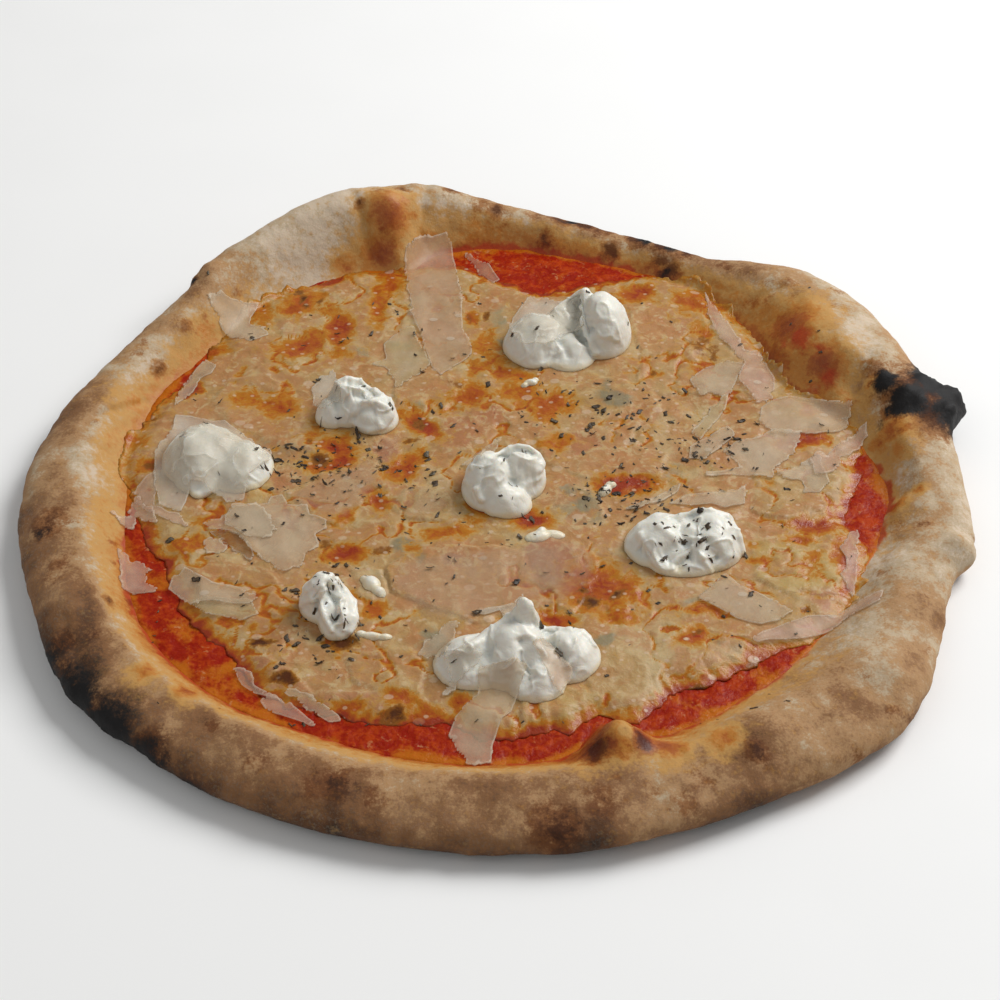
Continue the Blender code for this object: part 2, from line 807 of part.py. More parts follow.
main()
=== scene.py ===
"""The looks of a whole four cheese pizza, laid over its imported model.

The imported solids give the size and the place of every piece. This script builds the pieces that
are seen: the baked crust, tomato sauce, the sheet of melted cheese with its herbs, seven spoonfuls
and some crumbs of soft cheese, and the thin shavings of hard cheese. Each one replaces its solid.

Plan positions are millimetres from the middle that the crust was shaped round, which Plan turns
into the model's metres. Azimuths are degrees, anticlockwise from +X, and the nearest part of the
rim is at -Y.
"""

import json
import logging
import math
from collections.abc import Sequence
from dataclasses import dataclass
from enum import Enum

import bpy
import numpy as np
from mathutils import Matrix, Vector, noise
from mathutils.bvhtree import BVHTree

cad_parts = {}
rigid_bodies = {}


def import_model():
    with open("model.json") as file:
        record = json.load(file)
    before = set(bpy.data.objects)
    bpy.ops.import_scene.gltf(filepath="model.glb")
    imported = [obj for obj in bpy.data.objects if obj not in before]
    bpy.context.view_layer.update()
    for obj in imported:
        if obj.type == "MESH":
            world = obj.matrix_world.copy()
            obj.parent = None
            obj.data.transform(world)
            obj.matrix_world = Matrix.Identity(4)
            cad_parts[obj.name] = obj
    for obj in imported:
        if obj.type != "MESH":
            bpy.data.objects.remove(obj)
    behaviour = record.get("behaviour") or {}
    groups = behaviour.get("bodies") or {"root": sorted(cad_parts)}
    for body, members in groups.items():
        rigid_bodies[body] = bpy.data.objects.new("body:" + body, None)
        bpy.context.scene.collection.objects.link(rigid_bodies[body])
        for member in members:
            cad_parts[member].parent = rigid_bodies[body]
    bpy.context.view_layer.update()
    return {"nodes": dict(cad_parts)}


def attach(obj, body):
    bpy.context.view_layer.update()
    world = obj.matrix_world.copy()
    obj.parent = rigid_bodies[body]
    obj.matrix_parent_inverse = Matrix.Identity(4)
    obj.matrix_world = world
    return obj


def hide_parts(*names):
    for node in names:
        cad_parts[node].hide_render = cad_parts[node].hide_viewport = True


MM = 0.001
BODY = "root"
SEED_SHIFT = np.array((7.3, 3.1, 5.7))

log = logging.getLogger("pizza")

Array = np.ndarray
Thing = bpy.types.Object
Colour = tuple[float, float, float]
Socket = bpy.types.NodeSocket
Spot = tuple[float, float, float, float]
Line = tuple[tuple[float, float], ...]


# ---------------------------------------------------------------- numbers and noise


class Plan:
    """Turns plan positions in millimetres into the model's metres, and back."""

    middle = np.array((-2.16654, 6.68365, 0.0))

    @classmethod
    def metres(cls, points: Array) -> Array:
        """Plan points in mm as the model's points in metres."""
        return (np.asarray(points, float) - cls.middle) * MM

    @classmethod
    def millimetres(cls, points: Array) -> Array:
        """The model's points in metres as plan points in mm."""
        return np.asarray(points, float) / MM + cls.middle


def eased(value: Array, low: float, high: float) -> Array:
    """A smooth step.

    Args:
        value: what is stepped.
        low: the value where the step starts, at nought.
        high: the value where it ends, at one. It may be under low.

    Returns:
        Numbers from nought to one.
    """
    share = np.clip((value - low) / (high - low), 0.0, 1.0)
    return share * share * (3 - 2 * share)


def rough(points: Array, length: float, seed: int = 0, octaves: int = 1) -> Array:
    """Smooth noise at points.

    Args:
        points: plan points in mm, one a row.
        length: the size of the largest lumps in mm.
        seed: which noise.
        octaves: how many finer layers are added.

    Returns:
        One number a point, mostly from -0.7 to 0.7.
    """
    shifted = (points / length + SEED_SHIFT * seed).tolist()
    if octaves == 1:
        return np.array([noise.noise(place) for place in shifted])
    return np.array([noise.fractal(place, 1.0, 2.0, octaves) for place in shifted])


def wandering(points: Array, length: float, reach: float, seed: int = 0) -> Array:
    """Plan points pushed about sideways by noise, so that outlines drawn over them turn uneven.

    Args:
        points: plan points in mm, one a row.
        length: the size of the wandering in mm.
        reach: how far a point goes in mm.
        seed: which noise.

    Returns:
        The moved points.
    """
    moved = points.copy()
    moved[:, 0] += reach * rough(points, length, seed, 2)
    moved[:, 1] += reach * rough(points, length, seed + 1, 2)
    return moved


def polar(azimuth: Array, radius: Array | float, height: Array | float) -> Array:
    """Plan points in mm, one a row, at azimuths in degrees."""
    turn = np.radians(azimuth)
    return np.stack(np.broadcast_arrays(radius * np.cos(turn), radius * np.sin(turn), height), 1)


def around(azimuth: Array, centre: float, spread: float) -> Array:
    """A bell round one azimuth, in degrees."""
    away = (azimuth - centre + 180) % 360 - 180
    return np.exp(-((away / spread) ** 2))


def round_curve(azimuth: Array, stations: Array, values: Array) -> Array:
    """A smooth closed curve through values given at azimuths.

    Args:
        azimuth: where it is read, in degrees.
        stations: the azimuths of the values, rising from nought.
        values: the values, one a station.

    Returns:
        One value for each azimuth.
    """
    turn = azimuth % 360
    count = len(stations)
    last = np.searchsorted(stations, turn, side="right") - 1
    places, heights = [], []
    for step in (-1, 0, 1, 2):
        index = last + step
        places.append(stations[index % count] + 360.0 * (index // count))
        heights.append(values[index % count])
    before, start, end, after = places
    a, b, c, d = heights
    t = (turn - start) / (end - start)
    slope_b = (c - a) / (end - before) * (end - start)
    slope_c = (d - b) / (after - start) * (end - start)
    return (
        (2 * t**3 - 3 * t**2 + 1) * b
        + (t**3 - 2 * t**2 + t) * slope_b
        + (3 * t**2 - 2 * t**3) * c
        + (t**3 - t**2) * slope_c
    )


# ---------------------------------------------------------------- modelling


class Bench:
    """The modelling moves that every piece is made with."""

    @staticmethod
    def deselect() -> None:
        """Deselects everything, so that the next operator acts on one piece."""
        if bpy.context.object and bpy.context.object.mode != "OBJECT":
            bpy.ops.object.mode_set(mode="OBJECT")
        bpy.ops.object.select_all(action="DESELECT")

    @classmethod
    def hold(cls, obj: Thing) -> None:
        """Makes one object the only selected and active one."""
        cls.deselect()
        obj.select_set(True)
        bpy.context.view_layer.objects.active = obj

    @classmethod
    def grid(cls, name: str, across: int, along: int) -> Thing:
        """A flat square from -1 to 1.

        Args:
            name: the piece's name.
            across: faces along X.
            along: faces along Y.

        Returns:
            The new object.
        """
        cls.deselect()
        bpy.ops.mesh.primitive_grid_add(x_subdivisions=across, y_subdivisions=along, size=2)
        return cls.named(name)

    @classmethod
    def ball(cls, name: str, segments: int, rings: int) -> Thing:
        """A sphere of radius 1.

        Args:
            name: the piece's name.
            segments: faces round it.
            rings: faces from pole to pole.

        Returns:
            The new object.
        """
        cls.deselect()
        bpy.ops.mesh.primitive_uv_sphere_add(segments=segments, ring_count=rings, radius=1)
        return cls.named(name)

    @staticmethod
    def named(name: str) -> Thing:
        """Names the object that was just added, and its mesh."""
        obj = bpy.context.object
        obj.name = obj.data.name = name
        return obj

    @staticmethod
    def points(obj: Thing) -> Array:
        """An object's points, one a row, in metres."""
        flat = np.empty(len(obj.data.vertices) * 3, np.float32)
        obj.data.vertices.foreach_get("co", flat)
        return flat.reshape(-1, 3).astype(float)

    @staticmethod
    def normals(obj: Thing) -> Array:
        """The normals at an object's points, one a row."""
        obj.data.update()
        flat = np.empty(len(obj.data.vertices) * 3, np.float32)
        obj.data.vertices.foreach_get("normal", flat)
        return flat.reshape(-1, 3).astype(float)

    @staticmethod
    def place(obj: Thing, points: Array) -> None:
        """Moves an object's points to where they are given, in metres."""
        obj.data.vertices.foreach_set("co", points.astype(np.float32).ravel())
        obj.data.update()

    @staticmethod
    def paint(obj: Thing, name: str, values: Array) -> None:
        """Stores one number a point, which the finishes read by its name."""
        layer = obj.data.attributes.new(name, "FLOAT", "POINT")
        layer.data.foreach_set("value", values.astype(np.float32))

    @staticmethod
    def tint(obj: Thing, name: str, colours: Array) -> None:
        """Stores one linear colour a point, which the finishes read by its name."""
        layer = obj.data.attributes.new(name, "FLOAT_COLOR", "POINT")
        full = np.ones((len(colours), 4), np.float32)
        full[:, :3] = colours
        layer.data.foreach_set("color", full.ravel())

    @classmethod
    def apply(cls, obj: Thing, kind: str, **settings: float | str | bool) -> None:
        """Adds a modifier and applies it.

        Args:
            obj: the piece.
            kind: the modifier's type.
            settings: its settings by name.
        """
        cls.hold(obj)
        made = obj.modifiers.new(kind.title(), kind)
        for key, value in settings.items():
            setattr(made, key, value)
        bpy.ops.object.modifier_apply(modifier=made.name)

    @classmethod
    def join(cls, pieces: Sequence[Thing], name: str) -> Thing:
        """Joins several objects into one."""
        cls.hold(pieces[0])
        for piece in pieces:
            piece.select_set(True)
        bpy.ops.object.join()
        return cls.named(name)

    @classmethod
    def dress(cls, obj: Thing, finish: bpy.types.Material, slot: str) -> None:
        """Gives a finished piece its material, smooth shading and its body.

        Args:
            obj: the piece, in place.
            finish: its only material.
            slot: the record's material slot, which is not used.
        """
        obj.data.materials.clear()
        obj.data.materials.append(finish)
        cls.hold(obj)
        bpy.ops.object.shade_smooth()
        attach(obj, BODY)

    @staticmethod
    def tree(obj: Thing) -> BVHTree:
        """The search tree of an object as it stands."""
        bpy.context.view_layer.update()
        return BVHTree.FromObject(obj, bpy.context.evaluated_depsgraph_get())

    @staticmethod
    def report(obj: Thing) -> None:
        """Logs a finished piece."""
        log.info("%s: %d faces", obj.name, len(obj.data.polygons))


class Neighbours:
    """Which points of a mesh share an edge."""

    def __init__(self, obj: Thing) -> None:
        """Reads the edges of an object."""
        flat = np.empty(len(obj.data.edges) * 2, np.int32)
        obj.data.edges.foreach_get("vertices", flat)
        self.links = flat.reshape(-1, 2)

    def mean(self, values: Array) -> Array:
        """The mean over each point's neighbours of values given one a point or one row a point."""
        total = np.zeros_like(values)
        count = np.zeros(len(values))
        for a, b in ((0, 1), (1, 0)):
            np.add.at(total, self.links[:, a], values[self.links[:, b]])
            np.add.at(count, self.links[:, a], 1)
        return (total.T / np.maximum(1, count)).T


class Surface:
    """The highest surface over a plan grid, which what is laid later comes to rest on."""

    above = 0.2

    def __init__(self, half: float = 175.0, step: float = 1.0) -> None:
        """Starts with nothing.

        Args:
            half: half the side of the grid in mm.
            step: its spacing in mm.
        """
        self.half = half
        self.step = step
        self.count = int(2 * half / step) + 1
        self.heights = np.zeros((self.count, self.count))

    def add(self, obj: Thing) -> None:
        """Raises the surface to an object's upper side."""
        tree = Bench.tree(obj)
        plan = Plan.millimetres(Bench.points(obj))
        last = self.count - 1
        low = np.floor((plan.min(0)[:2] + self.half) / self.step).astype(int).clip(0, last)
        high = np.ceil((plan.max(0)[:2] + self.half) / self.step).astype(int).clip(0, last)
        for column in range(low[0], high[0] + 1):
            x = (column * self.step - self.half - Plan.middle[0]) * MM
            for row in range(low[1], high[1] + 1):
                y = (row * self.step - self.half - Plan.middle[1]) * MM
                hit = tree.ray_cast((x, y, self.above), (0, 0, -1))[0]
                if hit is not None and hit.z / MM > self.heights[column, row]:
                    self.heights[column, row] = hit.z / MM

    def at(self, x: Array, y: Array) -> Array:
        """The height in mm at plan positions in mm, straight between the grid's points."""
        u = np.clip((x + self.half) / self.step, 0, self.count - 1.001)
        v = np.clip((y + self.half) / self.step, 0, self.count - 1.001)
        i, j = u.astype(int), v.astype(int)
        s, t = u - i, v - j
        h = self.heights
        return (
            h[i, j] * (1 - s) * (1 - t)
            + h[i + 1, j] * s * (1 - t)
            + h[i, j + 1] * (1 - s) * t
            + h[i + 1, j + 1] * s * t
        )


# ---------------------------------------------------------------- finishes


class Wiring:
    """Adds and joins the nodes of one material."""

    def __init__(self, name: str) -> None:
        """Starts a material with its shader."""
        self.material = bpy.data.materials.new(name)
        self.material.use_nodes = True
        self.tree = self.material.node_tree
        self.shader = self.tree.nodes["Principled BSDF"]
        self.place = self.tree.nodes.new("ShaderNodeTexCoord").outputs["Object"]

    def put(self, socket: Socket, value: Socket | float | Colour) -> None:
        """Links or sets one input."""
        if isinstance(value, bpy.types.NodeSocket):
            self.tree.links.new(value, socket)
        elif socket.type == "RGBA":
            socket.default_value = (*value, 1.0)
        else:
            socket.default_value = value

    def add(
        self, kind: str, inputs: dict[str | int, Socket | float | Colour], **settings: str
    ) -> bpy.types.Node:
        """Adds a node.

        Args:
            kind: what it is.
            inputs: what goes into it, by the input's name or number.
            settings: what else it is set to.

        Returns:
            The node.
        """
        node = self.tree.nodes.new(f"ShaderNode{kind}")
        for key, value in settings.items():
            setattr(node, key, value)
        for key, value in inputs.items():
            self.put(node.inputs[key], value)
        return node

    def attribute(self, name: str, colour: bool = False) -> Socket:
        """What was painted on the piece's points under a name."""
        return self.add("Attribute", {}, attribute_name=name).outputs["Color" if colour else "Fac"]

    def noise(
        self, length: float, seed: int, detail: float, roughness: float = 0.5, distortion: float = 0.0
    ) -> Socket:
        """Noise over the piece.

        Args:
            length: the size of its lumps in mm.
            seed: which noise.
            detail: how many finer layers.
            roughness: how strong the finer layers are.
            distortion: how far it is stirred.

        Returns:
            A value from nought to one, about a half.
        """
        shift = (0.37 * seed, 0.19 * seed, 0.53 * seed)
        moved = self.add("VectorMath", {0: self.place, 1: shift}, operation="ADD").outputs[0]
        inputs = {"Vector": moved, "Scale": 1 / (length * MM), "Detail": detail}
        inputs |= {"Roughness": roughness, "Distortion": distortion}
        return self.add("TexNoise", inputs).outputs["Fac"]

    def cells(self, length: float, seed: int, stretch: float) -> tuple[Socket, Socket]:
        """Scattered dots over the piece.

        Args:
            length: the spacing of the dots in mm.
            seed: which scatter.
            stretch: how long the dots are along X.

        Returns:
            The distance from the nearest dot as a share of the spacing, and a colour a dot.
        """
        shift = (0.41 * seed, 0.23 * seed, 0.11 * seed)
        inputs = {"Vector": self.place, "Location": shift, "Scale": (1 / stretch, 1, 1)}
        moved = self.add("Mapping", inputs).outputs[0]
        node = self.add("TexVoronoi", {"Vector": moved, "Scale": 1 / (length * MM)})
        return node.outputs["Distance"], node.outputs["Color"]

    def sum(self, *parts: tuple[Socket | float, float]) -> Socket:
        """Adds values, each given with its weight."""
        total: Socket | float = 0.0
        for value, weight in parts:
            inputs = {0: value, 1: weight, 2: total}
            total = self.add("Math", inputs, operation="MULTIPLY_ADD").outputs[0]
        return total

    def times(self, first: Socket | float, second: Socket | float) -> Socket:
        """One value times another."""
        return self.add("Math", {0: first, 1: second}, operation="MULTIPLY").outputs[0]

    def step(self, value: Socket, low: float, high: float, start: float = 0.0, end: float = 1.0) -> Socket:
        """A smooth step from start, where the value is low, to end, where it is high."""
        inputs = {"Value": value, "From Min": low, "From Max": high, "To Min": start, "To Max": end}
        return self.add("MapRange", inputs, interpolation_type="SMOOTHSTEP").outputs["Result"]

    def mix(
        self, share: Socket | float, first: Socket | Colour, second: Socket | Colour, blend: str = "MIX"
    ) -> Socket:
        """One colour over another.

        Args:
            share: how much of the second shows.
            first: the colour underneath.
            second: the colour over it.
            blend: how they mix.

        Returns:
            The mixed colour.
        """
        inputs = {0: share, 6: first, 7: second}
        return self.add("Mix", inputs, data_type="RGBA", blend_type=blend).outputs[2]

    def ramp(self, value: Socket, *stops: tuple[float, Colour]) -> Socket:
        """A colour for each value, smooth between stops given as value and colour."""
        node = self.add("ValToRGB", {"Fac": value})
        line = node.color_ramp
        line.interpolation = "EASE"
        while len(line.elements) < len(stops):
            line.elements.new(1.0)
        for element, (position, colour) in zip(line.elements, stops):
            element.position = position
            element.color = (*colour, 1.0)
        return node.outputs["Color"]

    def bump(self, height: Socket, depth: float, strength: float, over: Socket | None = None) -> Socket:
        """Fine relief.

        Args:
            height: the relief as a value from nought to one.
            depth: how deep one is in mm.
            strength: how much of it is used.
            over: relief that this one lies over.

        Returns:
            The normal for the shader.
        """
        inputs = {"Distance": depth * MM, "Strength": strength, "Height": height}
        if over is not None:
            inputs["Normal"] = over
        return self.add("Bump", inputs).outputs["Normal"]

    def shade(self, **inputs: Socket | float | Colour) -> bpy.types.Material:
        """Sets the shader's inputs, named with underlines for spaces, and returns the material."""
        for key, value in inputs.items():
            self.put(self.shader.inputs[key.replace("_", " ")], value)
        return self.material

    def soften(self, weight: float, reach: Colour) -> None:
        """Lets light into the surface: how much, and how far in mm for red, green and blue."""
        radius = tuple(value * MM for value in reach)
        self.shade(Subsurface_Weight=weight, Subsurface_Radius=radius, Subsurface_Scale=1.0)


def grey(level: float) -> Colour:
    """A grey, which a roughness reads as a number."""
    return (level, level, level)


class Tone(Enum):
    """What a part of the melted cheese looks like, as a linear colour."""

    STRAW = (0.400, 0.242, 0.094)
    PEACH = (0.405, 0.208, 0.080)
    PINK = (0.370, 0.145, 0.064)
    ROSE = (0.410, 0.180, 0.084)
    CREAM = (0.480, 0.355, 0.180)
    LEMON = (0.440, 0.300, 0.105)
    MAUVE = (0.290, 0.148, 0.088)
    GREY = (0.290, 0.228, 0.125)


@dataclass(frozen=True)
class BakedDough:
    """The crust: pale dough, browned and scorched, with flour, oil stains and sauce."""

    cream: Colour = (0.56, 0.45, 0.33)
    pale: Colour = (0.47, 0.36, 0.235)
    tan: Colour = (0.39, 0.225, 0.105)
    brown: Colour = (0.215, 0.100, 0.040)
    dark: Colour = (0.100, 0.043, 0.018)
    black: Colour = (0.030, 0.017, 0.012)
    flour: Colour = (0.42, 0.31, 0.215)
    gold: Colour = (0.50, 0.270, 0.078)
    amber: Colour = (0.47, 0.185, 0.028)
    orange: Colour = (0.36, 0.090, 0.008)
    rust: Colour = (0.28, 0.055, 0.006)
    sauce: Colour = (0.38, 0.035, 0.006)
    soot: Colour = (0.008, 0.007, 0.007)
    unsinged: Colour = (1.0, 1.0, 1.0)
    singed: Colour = (0.70, 0.54, 0.42)
    charred: Colour = (0.25, 0.15, 0.10)

    def material(self) -> bpy.types.Material:
        """The finish as a material. It reads bake, scorch, oil, red, flour and soot from the points."""
        w = Wiring("baked_dough")
        blotch = w.noise(14, 1, 3)
        mottle = w.noise(3.4, 2, 4, 0.62)
        grain = w.noise(0.8, 3, 3, 0.65)
        bake = w.sum(
            (w.attribute("bake"), 1.0), (blotch, 0.46), (mottle, 0.62), (grain, 0.46), (1.0, -0.77)
        )
        colour = w.ramp(
            bake,
            (0.0, self.cream),
            (0.16, self.pale),
            (0.36, self.tan),
            (0.62, self.brown),
            (0.82, self.dark),
            (1.0, self.black),
        )
        dusty = w.step(w.sum((grain, 0.8), (mottle, 0.4)), 0.54, 0.80, 0.0, 0.60)
        colour = w.mix(w.times(w.attribute("flour"), dusty), colour, self.flour)
        oil = w.sum((w.attribute("oil"), 1.0), (mottle, 0.62), (w.noise(1.3, 5, 3), 0.36), (1.0, -0.49))
        stained = w.ramp(
            oil,
            (0.0, self.gold),
            (0.34, self.gold),
            (0.56, self.amber),
            (0.80, self.orange),
            (1.0, self.rust),
        )
        colour = w.mix(w.step(oil, 0.02, 0.34, 0.0, 0.95), colour, stained)
        red = w.step(w.sum((w.attribute("red"), 1.3), (mottle, 1.3), (1.0, -0.75)), 0.1, 1.0, 0.0, 0.85)
        colour = w.mix(red, colour, self.sauce)
        scorch = w.sum((w.attribute("scorch"), 1.0), (mottle, 1.1), (grain, 0.6), (1.0, -0.95))
        scorch = w.step(scorch, 0.0, 1.1)
        singed = w.ramp(scorch, (0.0, self.unsinged), (0.45, self.singed), (1.0, self.charred))
        colour = w.mix(1.0, colour, singed, "MULTIPLY")
        soot = w.sum((w.attribute("soot"), 1.3), (mottle, 0.9), (grain, 0.6), (1.0, -0.8))
        soot = w.step(soot, 0.1, 0.75)
        colour = w.mix(soot, colour, self.soot)
        gloss = w.mix(w.step(oil, 0.25, 0.6), grey(0.80), grey(0.44))
        gloss = w.mix(soot, gloss, grey(0.66))
        relief = w.bump(w.noise(2.2, 7, 3), 0.45, 0.6)
        relief = w.bump(grain, 0.16, 0.8, relief)
        w.soften(0.08, (1.6, 0.8, 0.4))
        return w.shade(Base_Color=colour, Roughness=gloss, Normal=relief, Specular_IOR_Level=0.25)


@dataclass(frozen=True)
class TomatoSauce:
    """Thick tomato sauce: deep red where it lies thick, orange where oil and cheese run through."""

    deep: Colour = (0.27, 0.010, 0.001)
    bright: Colour = (0.40, 0.042, 0.002)
    oil: Colour = (0.44, 0.115, 0.005)
    milky: Colour = (0.48, 0.20, 0.085)

    def material(self) -> bpy.types.Material:
        """The finish as a material. It reads oil from the points."""
        w = Wiring("tomato_sauce")
        pulp = w.noise(4.5, 1, 4, 0.6, 0.5)
        fine = w.noise(1.4, 2, 3)
        colour = w.mix(w.step(w.sum((pulp, 0.7), (fine, 0.4)), 0.45, 0.70), self.deep, self.bright)
        oily = w.step(w.sum((w.attribute("oil"), 1.0), (pulp, 0.9), (fine, 0.5), (1.0, -0.75)), 0.1, 0.7)
        colour = w.mix(oily, colour, self.oil)
        curd = w.step(w.sum((w.noise(3.6, 5, 4, 0.62, 0.8), 1.0), (fine, 0.3)), 0.76, 0.90, 0.0, 0.75)
        colour = w.mix(curd, colour, self.milky)
        relief = w.bump(w.sum((pulp, 0.6), (fine, 0.4)), 0.9, 0.8)
        w.soften(0.18, (1.6, 0.5, 0.2))
        return w.shade(Base_Color=colour, Roughness=0.40, Normal=relief, Specular_IOR_Level=0.12)


@dataclass(frozen=True)
class MeltedCheese:
    """The melted sheet: translucent pieces run together, with oil, baked spots and blue veins."""

    rosy: Colour = (0.400, 0.172, 0.064)
    milky: Colour = (0.510, 0.370, 0.190)
    clear: Colour = (0.290, 0.150, 0.042)
    gold: Colour = (0.450, 0.250, 0.055)
    amber: Colour = (0.410, 0.145, 0.006)
    orange: Colour = (0.350, 0.072, 0.003)
    red: Colour = (0.260, 0.020, 0.003)
    toasted: Colour = (0.210, 0.075, 0.008)
    burnt: Colour = (0.060, 0.018, 0.005)
    vein: Colour = (0.200, 0.175, 0.105)
    dot: Colour = (0.570, 0.420, 0.290)

    def material(self) -> bpy.types.Material:
        """The finish as a material. It reads tone, border, oil, baked and vein from the points."""
        w = Wiring("melted_cheese")
        broad = w.noise(12, 1, 3, 0.5, 0.5)
        middle = w.noise(4.6, 2, 4, 0.6, 0.9)
        small = w.noise(1.6, 3, 4, 0.65, 0.4)
        mottle = w.sum((middle, 0.8), (small, 0.35))
        colour = w.mix(w.step(broad, 0.44, 0.60, 0.0, 0.65), w.attribute("tone", True), self.rosy)
        colour = w.mix(w.step(mottle, 0.57, 0.74, 0.0, 0.80), colour, self.milky)
        colour = w.mix(w.step(mottle, 0.56, 0.36, 0.0, 0.60), colour, self.clear)
        rim = w.times(w.attribute("border"), w.step(small, 0.38, 0.62, 0.1, 0.6))
        colour = w.mix(rim, colour, self.milky)
        blue = w.sum((w.attribute("vein"), 1.1), (middle, 0.9), (small, 0.3), (1.0, -0.78))
        colour = w.mix(w.step(blue, 0.05, 0.62, 0.0, 0.8), colour, self.vein)
        stirred = w.noise(5.2, 12, 4, 0.65, 0.8)
        heat = w.sum((w.attribute("oil"), 1.0), (stirred, 1.05), (small, 0.50), (1.0, -0.69))
        oily = w.ramp(
            heat,
            (0.0, self.gold),
            (0.26, self.gold),
            (0.46, self.amber),
            (0.68, self.orange),
            (0.92, self.red),
        )
        colour = w.mix(w.step(heat, 0.12, 0.40, 0.0, 0.95), colour, oily)
        speckled = w.noise(2.2, 15, 4, 0.65, 0.6)
        toast = w.sum((w.attribute("baked"), 0.95), (speckled, 1.0), (small, 0.6), (1.0, -0.84))
        brown = w.ramp(toast, (0.0, self.toasted), (0.45, self.toasted), (0.85, self.burnt))
        colour = w.mix(w.step(toast, 0.12, 0.45, 0.0, 0.92), colour, brown)
        near, dots = w.cells(3.1, 5, 1.2)
        fine = w.times(w.step(near, 0.27, 0.15), w.step(dots, 0.52, 0.60, 0.0, 0.55))
        near, dots = w.cells(8.0, 6, 1.35)
        coarse = w.times(w.step(near, 0.20, 0.15), w.step(dots, 0.5, 0.6, 0.0, 0.5))
        spotted = w.sum((fine, 1.0), (coarse, 1.0))
        colour = w.mix(spotted, colour, self.dot)
        gloss = w.mix(w.step(heat, 0.15, 0.5), grey(0.44), grey(0.28))
        relief = w.bump(w.sum((middle, 1.0), (w.noise(3.0, 21, 3, 0.5, 0.5), 0.8)), 0.5, 0.6)
        relief = w.bump(w.sum((small, 0.8), (spotted, 0.5)), 0.22, 0.6, relief)
        w.soften(0.15, (2.0, 0.9, 0.35))
        return w.shade(Base_Color=colour, Roughness=gloss, Normal=relief, Specular_IOR_Level=0.24)


@dataclass(frozen=True)
class FreshCheese:
    """Soft white cheese, with shade painted into its hollows as a cool grey, and warm where it touches the
    oil.
    """

    white: Colour = (0.76, 0.745, 0.665)
    # the cool grey of the shade painted into the hollows
    painted_shade: Colour = (0.62, 0.63, 0.58)
    warm: Colour = (0.74, 0.62, 0.40)

    def material(self) -> bpy.types.Material:
        """The finish as a material. It reads foot and hollow from the points, and paints shade into the
        hollows.
        """
        w = Wiring("fresh_cheese")
        cloud = w.noise(6, 1, 3)
        cream = w.noise(1.6, 2, 3, 0.5, 0.8)
        # painted shade: the hollows turn a cool grey, as a real spoonful does where it lies in shade
        painted_shade = w.step(w.sum((w.attribute("hollow_shade"), 1.0), (cloud, 0.5)), 0.3, 1.1)
        colour = w.mix(painted_shade, self.white, self.painted_shade)
        warm = w.step(w.sum((w.attribute("foot"), 1.0), (cloud, 0.6)), 0.45, 1.25, 0.0, 0.75)
        colour = w.mix(warm, colour, self.warm)
        relief = w.bump(w.noise(3.2, 7, 2, 0.5, 1.2), 0.5, 0.45)
        relief = w.bump(cream, 0.16, 0.5, relief)
        w.soften(0.35, (2.6, 2.0, 1.4))
        return w.shade(Base_Color=colour, Roughness=0.36, Normal=relief, Specular_IOR_Level=0.40)


class Tint(Enum):
    """What a shaving looks like, as a linear colour."""

    MILKY = (0.740, 0.695, 0.585)
    PLAIN = (0.680, 0.530, 0.350)
    PALE = (0.700, 0.575, 0.400)
    STRAW = (0.620, 0.490, 0.260)
    PEACH = (0.640, 0.420, 0.255)
    PINK = (0.560, 0.290, 0.180)
    MAUVE = (0.660, 0.440, 0.330)
    GREY = (0.620, 0.505, 0.345)
    # painted shade: a dark brown for the shaded underside of a curled shaving
    BROWN = (0.300, 0.150, 0.060)


@dataclass(frozen=True)
class HardCheese:
    """A thin shaving that lets what is under it show, with a highlight painted along its cut edges."""

    pale: Colour = (0.72, 0.58, 0.41)
    # the pale colour of the highlight painted along the cut
    edge: Colour = (0.78, 0.70, 0.56)
    dot: Colour = (0.66, 0.56, 0.43)
    cover: float = 0.30

    def material(self) -> bpy.types.Material:
        """The finish as a material. It reads tone, edge, which is one along the cut where a highlight
        is painted, and body, which is nought where the shaving has melted away."""
        w = Wiring("hard_cheese")
        cloud = w.noise(7.0, 1, 3, 0.55)
        fine = w.noise(1.0, 2, 3)
        colour = w.mix(w.step(cloud, 0.36, 0.70, 0.0, 0.45), w.attribute("tone", True), self.pale)
        cut = w.step(w.sum((w.attribute("edge"), 1.0), (fine, 0.5)), 0.62, 1.12)
        # painted highlight: the pale edge colour along the cut stands for light caught by the cut edge
        colour = w.mix(w.times(cut, 0.55), colour, self.edge)
        near, dots = w.cells(6.5, 5, 1.5)
        spotted = w.times(w.step(near, 0.20, 0.13), w.step(dots, 0.45, 0.5, 0.0, 0.75))
        colour = w.mix(spotted, colour, self.dot)
        thin = w.noise(13.0, 4, 2)
        veil = w.times(
            w.sum((cut, 0.22), (thin, 0.40), (spotted, 0.25), (1.0, self.cover - 0.20)), w.attribute("body")
        )
        relief = w.bump(w.noise(3.2, 7, 3, 0.5, 0.6), 0.35, 0.6)
        relief = w.bump(fine, 0.08, 0.5, relief)
        return w.shade(Base_Color=colour, Roughness=0.42, Alpha=veil, Normal=relief, Specular_IOR_Level=0.38)


